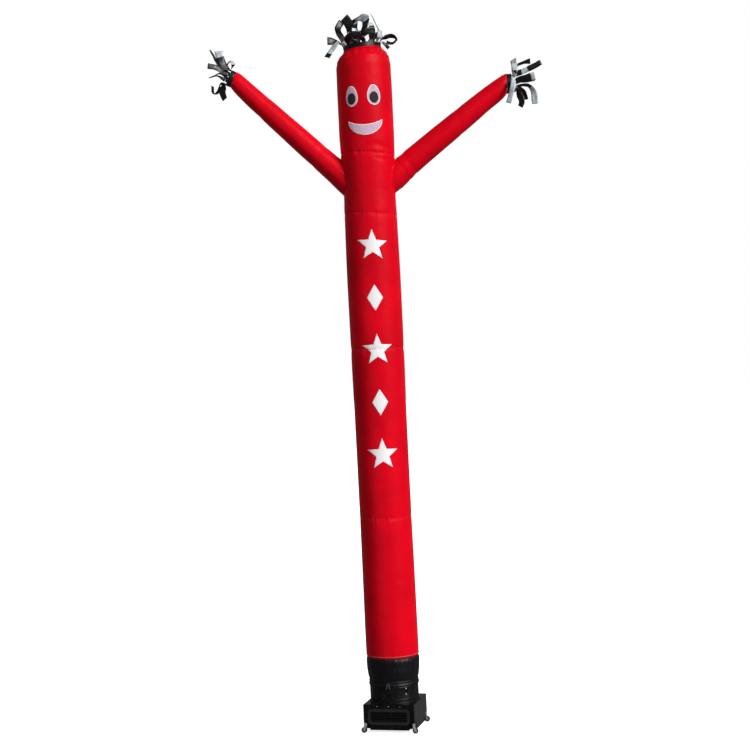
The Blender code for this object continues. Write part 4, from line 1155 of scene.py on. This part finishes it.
class DANCER_OT_seams(bpy.types.Operator):
    """Sew the panels, hems and sleeves: a raised fold and rows of stitches at each seam."""

    bl_idname = "dancer.seams"
    bl_label = "Seams and stitches"

    def execute(self, context):
        pitch = context.scene.dancer_cloth.stitch
        for name, _, high in PANELS[:-1]:
            self.seam(name, high, pitch)
        # The hem ridge's lighter pink is a painted highlight, the hem strip's darkened red a
        # painted shadow.
        for name, (rows, heights) in HEM_TAPES.items():
            add_fold(name, rows, heights, cloth_point, look=(RED[0], name))
        hem = [ring_of_stitches(height, pitch) for height in HEM_STITCHES]
        sew("collar_hem_stitches", hem, BLACK_THREAD)
        rows = [CROWN + offset for offset in BINDING_ROWS]
        add_fold("crown_binding", rows, BINDING_RISE, tube_point, wall=0.0004)
        for side in SLEEVES:
            lines = [
                [
                    facing_out(lambda s, t: sleeve_cloth(side, s, t, STITCH_LIFT), share, turn)
                    for turn in turns_round(count)
                ]
                for share, count in SLEEVE_STITCHES
            ]
            sew(f"{side}_sleeve_stitches", lines, RED_THREAD)
            add_fold(
                f"{side}_root_seam",
                ROOT_ROWS,
                ROOT_RISE,
                lambda share, turn, grow: sleeve_cloth(side, share, turn, grow),
                sides=SLEEVE_ROUND,
            )
        return {"FINISHED"}

    def seam(self, name, high, pitch):
        """The folded seam at a panel's top, with a row of stitches near each edge."""
        collar = name == "collar"
        half = SEAM_WIDTH / 2
        middle = high - half if collar else high
        rows = [middle + half * step for step in SEAM_ROWS]
        look = BLACK if collar else RED
        add_fold(f"{name}_seam", rows, SEAM_RISE, cloth_point, look)
        lines = [
            [(point + out * 0.0010, along, out) for point, along, out in ring]
            for ring in (ring_of_stitches(middle + off, pitch) for off in (-0.005, 0.005))
        ]
        sew(f"{name}_seam_stitches", lines, BLACK_THREAD if collar else RED_THREAD)


class DANCER_OT_face(bpy.types.Operator):
    """Make the eyes and the smile: mesh cloth inside white borders, and black pupils."""

    bl_idname = "dancer.face"
    bl_label = "Face"

    def execute(self, context):
        pitch = context.scene.dancer_cloth.stitch
        lines = []
        for sign, side in ((-1, "left"), (1, "right")):
            facing = EYE_FACING[side]
            height = EYE_HEIGHT + sign * EYE_HIGHER
            half, tall, egg = EYE_OVAL
            white = tilted(oval(half + EYE_WIDER * sign, tall, egg))
            node = f"{side}_eye_white"
            eye = self.bordered(f"{side}_eye", white, height, facing, EYE_BORDER, node)
            lines.append(stitched_edge(white, height, facing, *BORDER_EDGE, pitch))
            height -= PUPIL_DROP
            black = tilted(oval(*PUPIL_OVAL))
            pupil = add_patch(f"{side}_pupil_cloth", black, height, facing, PUPIL_LIFT)
            put(pupil, "body", "pupil_cloth", finish("pupil_cloth"), nodes=[f"{side}_pupil"])
            edge = stitched_edge(black, height, facing, *PUPIL_EDGE, pitch)
            sew(f"{side}_pupil_stitches", [edge], ("black_thread", "pupil_cloth"))
        mouth = tilted(smile())
        place = (SMILE_HEIGHT, SMILE_FACING)
        lips = self.bordered("smile_cloth", mouth, *place, SMILE_BORDER, "smile_patch")
        lines.append(stitched_edge(mouth, *place, *BORDER_EDGE, pitch))
        sew("face_stitches", lines, ("edge_thread", "white_cloth"))
        return {"FINISHED"}

    def bordered(self, name, outline, height, facing, border, node):
        """A patch of mesh cloth inside a white border."""
        patch = add_patch(name, outline, height, facing, BORDER_LIFT, border)
        looks = (finish("white_cloth"), finish("mesh_cloth"))
        return put(patch, "body", "white_cloth", *looks, nodes=[node])


class DANCER_OT_shapes(bpy.types.Operator):
    """Sew the plain stars and diamonds down the front."""

    bl_idname = "dancer.shapes"
    bl_label = "Stars and diamonds"

    def execute(self, context):
        pitch = context.scene.dancer_cloth.stitch
        lines = []
        for name, height, points, outer, inner in SHAPES:
            outline = star(points, outer, inner)
            patch = add_patch(f"{name}_cloth", outline, height, 0.0, SHAPE_LIFT)
            put(patch, "body", "white_cloth", finish("white_cloth"), nodes=[name])
            lines.append(stitched_edge(outline, height, 0.0, *SHAPE_EDGE, pitch))
        sew("shape_stitches", lines, ("white_thread", "white_cloth"))
        return {"FINISHED"}


class DANCER_OT_streamers(bpy.types.Operator):
    """Make the cut bands round the three vents, black outside and silver inside."""

    bl_idname = "dancer.streamers"
    bl_label = "Streamers"

    def execute(self, context):
        noise.seed_set(BAND_SEED)
        level = Vector((-CROWN_TILT, 0.0, 1.0))
        vents = {"crown": (Vector((AXIS_X, 0.0, CROWN)), level, *CROWN_VENT)}
        for side in SLEEVES:
            start, out, up, _, length = sleeve_frame(side)
            level = (up + out * SLEEVES[side].slant).normalized()
            mouth = Vector((0.0, 1.0, 0.0)).cross(level)
            mouth = mouth if mouth.dot(out) > 0 else -mouth
            vents[side] = (start + out * length, mouth, *HAND_VENT)
        for name, (centre, out, strip, radius) in vents.items():
            node = f"{name}_streamers"
            bands = copy_node(node, f"{name}_bands")
            self.soften(bands, centre, out.normalized(), strip, radius + 0.008)
            looks = (finish("band_black"), finish("band_silver"))
            put(bands, "body", "streamer_cloth", *looks, nodes=[node], sharp=50)
        return {"FINISHED"}

    def soften(self, bands, centre, out, strip, reach):
        """Keeps the cut edges sharp, rounds the bends and tells the cloth's two sides apart."""
        with editing(bands) as bm:
            layers = bm.edges.layers.float
            crease = layers.get("crease_edge") or layers.new("crease_edge")
            for edge in bm.edges:
                cut = len(edge.link_faces) != 2 or edge.calc_face_angle(0.0) > CUT_EDGE
                edge[crease] = 1.0 if cut else 0.0
            self.tell_sides(bm, crease, centre, out, strip, reach)
        add_modifier(bands, "SUBSURF", levels=2, render_levels=2)
        for vert in bands.data.vertices:
            free = eased(((vert.co - centre).dot(out) - strip) / 0.05)
            wave = noise.noise_vector(vert.co * 13.0) + 0.5 * noise.noise_vector(vert.co * 31.0)
            vert.co += wave * (RIPPLE * free)

    def tell_sides(self, bm, crease, centre, out, strip, reach):
        """Gives each side of every band its own finish: 0 is black, 1 is silver."""
        left = {}
        for face in bm.faces:
            middle = face.calc_center_median() - centre
            level = middle.dot(out)
            radial = middle - out * level
            face.material_index = 0
            if level > strip or radial.length > reach:
                left[face] = True
            elif face.normal.dot(radial.normalized()) < -0.5:
                face.material_index = 1
        while left:
            side = self.grown(left.popitem()[0], left, crease)
            towards = sum(face.normal.y * face.calc_area() for face in side)
            for face in side:
                place = face.calc_center_median()
                turned = any(
                    math.hypot(place.x - AXIS_X - x, place.z - z) < spot
                    for x, z, spot in TURNED_OVER
                )
                face.material_index = int((towards > 0) != turned)

    def grown(self, first, left, crease):
        """The faces in left that smooth edges join to the first, taken out of it."""
        side, waiting = [first], [first]
        while waiting:
            for edge in waiting.pop().edges:
                if edge[crease] < 0.5:
                    for other in edge.link_faces:
                        if other in left:
                            del left[other]
                            side.append(other)
                            waiting.append(other)
        return side


class DANCER_OT_tie(bpy.types.Operator):
    """Make the tie round the collar's foot, with its knot and two ends."""

    bl_idname = "dancer.tie"
    bl_label = "Collar tie"

    def execute(self, context):
        low, high = TIE_HEIGHT - TIE_HALF, TIE_HEIGHT + TIE_HALF
        rows = [low, low + 0.0015, low + 0.005, TIE_HEIGHT, high - 0.005, high - 0.0015, high]
        add_fold(
            "tie_band",
            rows,
            TIE_RISE,
            tube_point,
            look=BLACK,
            sides=128,
            wall=0.0018,
            nodes=["tie_tape"],
        )
        turn = Matrix.Rotation(KNOT_FACING, 4, "Z")
        place = Matrix.Translation((AXIS_X, 0.0, TIE_HEIGHT)) @ turn
        self.add_knot(place)
        for sign, side in ((-1, "left"), (1, "right")):
            self.add_end(place, sign, side)
        return {"FINISHED"}

    def add_knot(self, place):
        """A small knot of wrapped tape at the front of the tie."""
        start_clean()
        bpy.ops.mesh.primitive_uv_sphere_add(segments=28, ring_count=18, radius=1.0)
        knot = renamed("tie_knot")
        with editing(knot) as bm:
            for vert in bm.verts:
                x, y, z = vert.co
                wrap = 1.0 + 0.13 * math.sin(7.0 * x + 3.0 * z)
                wrap -= 0.22 * bell(x, 0.22)
                flat = Vector((x * 0.013, y * 0.008 * wrap, z * 0.010 * wrap))
                vert.co = place @ (flat + Vector((0.0, -0.2265, 0.0)))
        put(knot, "body", BLACK[0], finish("band_black"))

    def add_end(self, place, sign, side):
        """A short end of tape that hangs from the knot and curls a little."""
        start_clean()
        bpy.ops.mesh.primitive_grid_add(x_subdivisions=4, y_subdivisions=14, size=1.0)
        end = renamed(f"tie_end_{side}")
        width, length = TIE_END
        with editing(end) as bm:
            for vert in bm.verts:
                down = 0.5 - vert.co.y
                across = vert.co.x * width * (1.0 - 0.15 * down) + sign * (0.004 + 0.013 * down)
                curl = 0.0025 * math.sin(4.5 * down + sign) + 0.0012 * math.cos(9.0 * vert.co.x)
                depth = -0.2325 - sign * 0.001 + curl * down
                vert.co = place @ Vector((across, depth, -0.052 * down))
        add_modifier(end, "SOLIDIFY", thickness=0.0009, offset=0.0)
        put(end, "body", BLACK[0], finish("tie_cord"))


class DANCER_OT_blower(bpy.types.Operator):
    """Finish the blower's sheet metal, and make its round outlet with rolled beads."""

    bl_idname = "dancer.blower"
    bl_label = "Blower"

    def execute(self, context):
        low = OUTLET_LOW.z
        profile = self.profile(low, context.scene.dancer_blower.bead)

        def place(height, turn):
            radius = profile[height]
            if abs(turn) > math.pi - LAP_TURN and height > low + 0.004:
                radius += LAP
            return Vector((AXIS_X + radius * math.sin(turn), -radius * math.cos(turn), height))

        outlet = add_tube("outlet_duct", sorted(profile), 160, place)
        add_modifier(outlet, "SOLIDIFY", thickness=0.0012, offset=-1.0)
        put(outlet, "body", "black_steel", finish("duct_paint"), nodes=["outlet_ring"], sharp=35)
        for name, nodes in BLOWER_FINISHES.items():
            for node in nodes:
                for slot in frame["nodes"][node].material_slots:
                    slot.material = finish(name)
        return {"FINISHED"}

    def profile(self, low, bead):
        """The duct's radius at each of its heights: a flange, a wall and two beads."""
        profile = {
            low: OUTLET_FLANGE,
            low + 0.0013: OUTLET_FLANGE,
            low + 0.0016: OUTLET_FLANGE - 0.0004,
            low + 0.0017: OUTLET_RADIUS + 0.0030,
            low + 0.0024: OUTLET_RADIUS + 0.0010,
            low + 0.0045: OUTLET_RADIUS,
        }
        for middle in (low + 0.032, UPPER_BEAD):
            for step in range(-5, 6):
                height = middle + BEAD_STEP * step
                profile[height] = OUTLET_RADIUS + bead * math.cos(step / 5 * math.pi / 2) ** 2
        profile[OUTLET_HIGH.z] = OUTLET_RADIUS
        return profile


class DANCER_OT_casters(bpy.types.Operator):
    """Make the four rubber wheels and their axle nuts."""

    bl_idname = "dancer.casters"
    bl_label = "Caster wheels"

    def execute(self, context):
        pattern, nut = self.make_wheel(), self.make_nut()
        upright = Vector((0.0, 0.0, 1.0))
        for caster in CASTERS:
            joint = JOINTS[f"{caster}_roll"]
            axis = Vector(joint["axis"])
            turn = Matrix((axis.cross(upright), upright, axis)).transposed().to_4x4()
            if turn.determinant() < 0:
                turn = turn @ Matrix.Scale(-1.0, 4, Vector((1.0, 0.0, 0.0)))
            place = Matrix.Translation(joint["pos_m"]) @ turn
            wheel = self.copied(pattern, f"{caster}_tyre", place)
            looks = (finish("wheel_rubber"), finish("hub_plastic"))
            nodes = [f"{caster}_wheel"]
            put(wheel, f"{caster}_wheel_body", "black_rubber", *looks, nodes=nodes, sharp=40)
            for sign, name in ((-1, "inner"), (1, "outer")):
                beside = Matrix.Translation((0.0, 0.0, sign * NUT_PLACE))
                piece = self.copied(nut, f"{caster}_{name}_nut", place @ beside)
                put(piece, f"{caster}_fork_body", "zinc_steel", finish("zinc_plate"), sharp=40)
        bpy.data.objects.remove(pattern)
        bpy.data.objects.remove(nut)
        return {"FINISHED"}

    def copied(self, pattern, name, place):
        """A copy with its own mesh, put in its place."""
        piece = added(name, pattern.data.copy())
        piece.data.transform(place)
        return piece

    def make_wheel(self):
        """A tyre on a hub: a bevelled disc with a raised boss on each side."""
        start_clean()
        bpy.ops.mesh.primitive_cylinder_add(
            vertices=WHEEL_SIDES, radius=WHEEL_RADIUS, depth=WHEEL_WIDTH
        )
        wheel = renamed("wheel_pattern")
        bpy.ops.object.mode_set(mode="EDIT")
        for thickness, depth in WHEEL_INSETS:
            bm = bmesh.from_edit_mesh(wheel.data)
            for face in bm.faces:
                face.select_set(len(face.verts) == WHEEL_SIDES)
            bmesh.update_edit_mesh(wheel.data)
            bpy.ops.mesh.inset(thickness=thickness, depth=depth, use_individual=True)
        bpy.ops.mesh.select_all(action="DESELECT")
        bm = bmesh.from_edit_mesh(wheel.data)
        for edge in bm.edges:
            ends = [vert.co for vert in edge.verts]
            rim = all(abs(math.hypot(end.x, end.y) - WHEEL_RADIUS) < 0.0005 for end in ends)
            edge.select_set(rim and abs(ends[0].z - ends[1].z) < 0.0001)
        bmesh.update_edit_mesh(wheel.data)
        bpy.ops.mesh.bevel(offset=0.0026, segments=4, affect="EDGES")
        bm = bmesh.from_edit_mesh(wheel.data)
        for face in bm.faces:
            middle = face.calc_center_median()
            face.material_index = int(math.hypot(middle.x, middle.y) < HUB_RADIUS)
        bmesh.update_edit_mesh(wheel.data)
        bpy.ops.object.mode_set(mode="OBJECT")
        return wheel

    def make_nut(self):
        """A six-sided nut with its edges bevelled."""
        start_clean()
        bpy.ops.mesh.primitive_cylinder_add(vertices=6, radius=NUT_RADIUS, depth=NUT_DEPTH)
        nut = renamed("nut_pattern")
        bpy.ops.object.mode_set(mode="EDIT")
        bpy.ops.mesh.select_all(action="SELECT")
        bpy.ops.mesh.bevel(offset=0.0005, segments=2, affect="EDGES")
        bpy.ops.object.mode_set(mode="OBJECT")
        nut.data.uv_layers.remove(nut.data.uv_layers.active)  # the bevel leaves it unset
        return nut


class DANCER_OT_stage(bpy.types.Operator):
    """Set the pale floor, the soft studio light and the camera."""

    bl_idname = "dancer.stage"
    bl_label = "Floor, light and camera"

    def execute(self, context):
        scene = context.scene
        stage = scene.dancer_stage
        self.add_floor()
        self.light_world(scene, stage.ambient)
        for name, side, up, share, spread in LIGHTS:
            light = self.add_sun(name, side, up, share * stage.light, spread)
            light.visible_glossy = name == "key"
        scene.view_settings.view_transform = "Standard"
        data = bpy.data.cameras.new("studio_camera")
        data.sensor_width = 36.0
        data.lens = stage.focal
        data.clip_end = 300.0
        camera = bpy.data.objects.new("studio_camera", data)
        scene.collection.objects.link(camera)
        camera.matrix_world = (
            Matrix.Translation((AXIS_X + CAMERA_ACROSS, -stage.distance, stage.height))
            @ Matrix.Rotation(stage.turn, 4, "Z")
            @ Matrix.Rotation(math.pi / 2, 4, "X")
            @ Matrix.Rotation(-stage.roll, 4, "Z")
            @ Matrix.Rotation(-stage.dip, 4, "X")
        )
        scene.camera = camera
        return {"FINISHED"}

    def add_floor(self):
        """A wide pale floor, which lights and mirrors nothing."""
        start_clean()
        bpy.ops.mesh.primitive_plane_add(size=240.0, location=(0.0, 0.0, -0.0004))
        floor = renamed("pale_floor")
        white = {
            "Roughness": 0.9,
            "Emission Color": (1.0, 1.0, 1.0, 1.0),
            "Emission Strength": 0.8,
        }
        floor.data.materials.append(new_material("floor_white", (0.90, 0.90, 0.90), white)[0])
        floor.visible_diffuse = False
        floor.visible_glossy = False

    def light_world(self, scene, ambient):
        """Even light from all round, which the camera sees as plain white."""
        world = scene.world or bpy.data.worlds.new("studio")
        scene.world = world
        world.use_nodes = True
        tree = world.node_tree
        seen = add_node(tree, "LightPath").outputs["Is Camera Ray"]
        sky = tree.nodes["Background"]
        sky.inputs["Color"].default_value = (1.0, 1.0, 1.0, 1.0)
        strength = reckoned(tree, "MULTIPLY_ADD", seen, 1.0 - ambient, ambient)
        tree.links.new(strength, sky.inputs["Strength"])

    def add_sun(self, name, side, up, strength, spread):
        """A soft light from this far to the right of the front, and this far up."""
        data = bpy.data.lights.new(f"{name}_light", "SUN")
        data.energy = strength
        data.angle = math.radians(spread)
        light = bpy.data.objects.new(f"{name}_light", data)
        bpy.context.scene.collection.objects.link(light)
        light.rotation_euler = (math.radians(90.0 - up), 0.0, math.radians(side))
        return light


class DANCER_PT_panel(bpy.types.Panel):
    """Lists the dancer's pieces and settings in the sidebar."""

    bl_idname = "DANCER_PT_panel"
    bl_label = "Air dancer"
    bl_space_type = "VIEW_3D"
    bl_region_type = "UI"
    bl_category = "Dancer"

    def draw(self, context):
        for operator in OPERATORS:
            self.layout.operator(operator.bl_idname)
        for group in (
            context.scene.dancer_cloth,
            context.scene.dancer_blower,
            context.scene.dancer_stage,
        ):
            for key in group.__annotations__:
                self.layout.prop(group, key)


GROUPS = {"dancer_cloth": DancerCloth, "dancer_blower": DancerBlower, "dancer_stage": DancerStage}
OPERATORS = (
    DANCER_OT_panels,
    DANCER_OT_sleeves,
    DANCER_OT_seams,
    DANCER_OT_face,
    DANCER_OT_shapes,
    DANCER_OT_streamers,
    DANCER_OT_tie,
    DANCER_OT_blower,
    DANCER_OT_casters,
    DANCER_OT_stage,
)


def register():
    for group in GROUPS.values():
        bpy.utils.register_class(group)
    for name, group in GROUPS.items():
        setattr(bpy.types.Scene, name, bpy.props.PointerProperty(type=group))
    for operator in OPERATORS:
        bpy.utils.register_class(operator)
    bpy.utils.register_class(DANCER_PT_panel)


def unregister():
    bpy.utils.unregister_class(DANCER_PT_panel)
    for operator in reversed(OPERATORS):
        bpy.utils.unregister_class(operator)
    for name in GROUPS:
        delattr(bpy.types.Scene, name)
    for group in GROUPS.values():
        bpy.utils.unregister_class(group)


def main():
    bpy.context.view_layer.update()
    register()
    for operator in OPERATORS:
        section, name = operator.bl_idname.split(".")
        getattr(getattr(bpy.ops, section), name)()


if __name__ == "__main__":
    main()
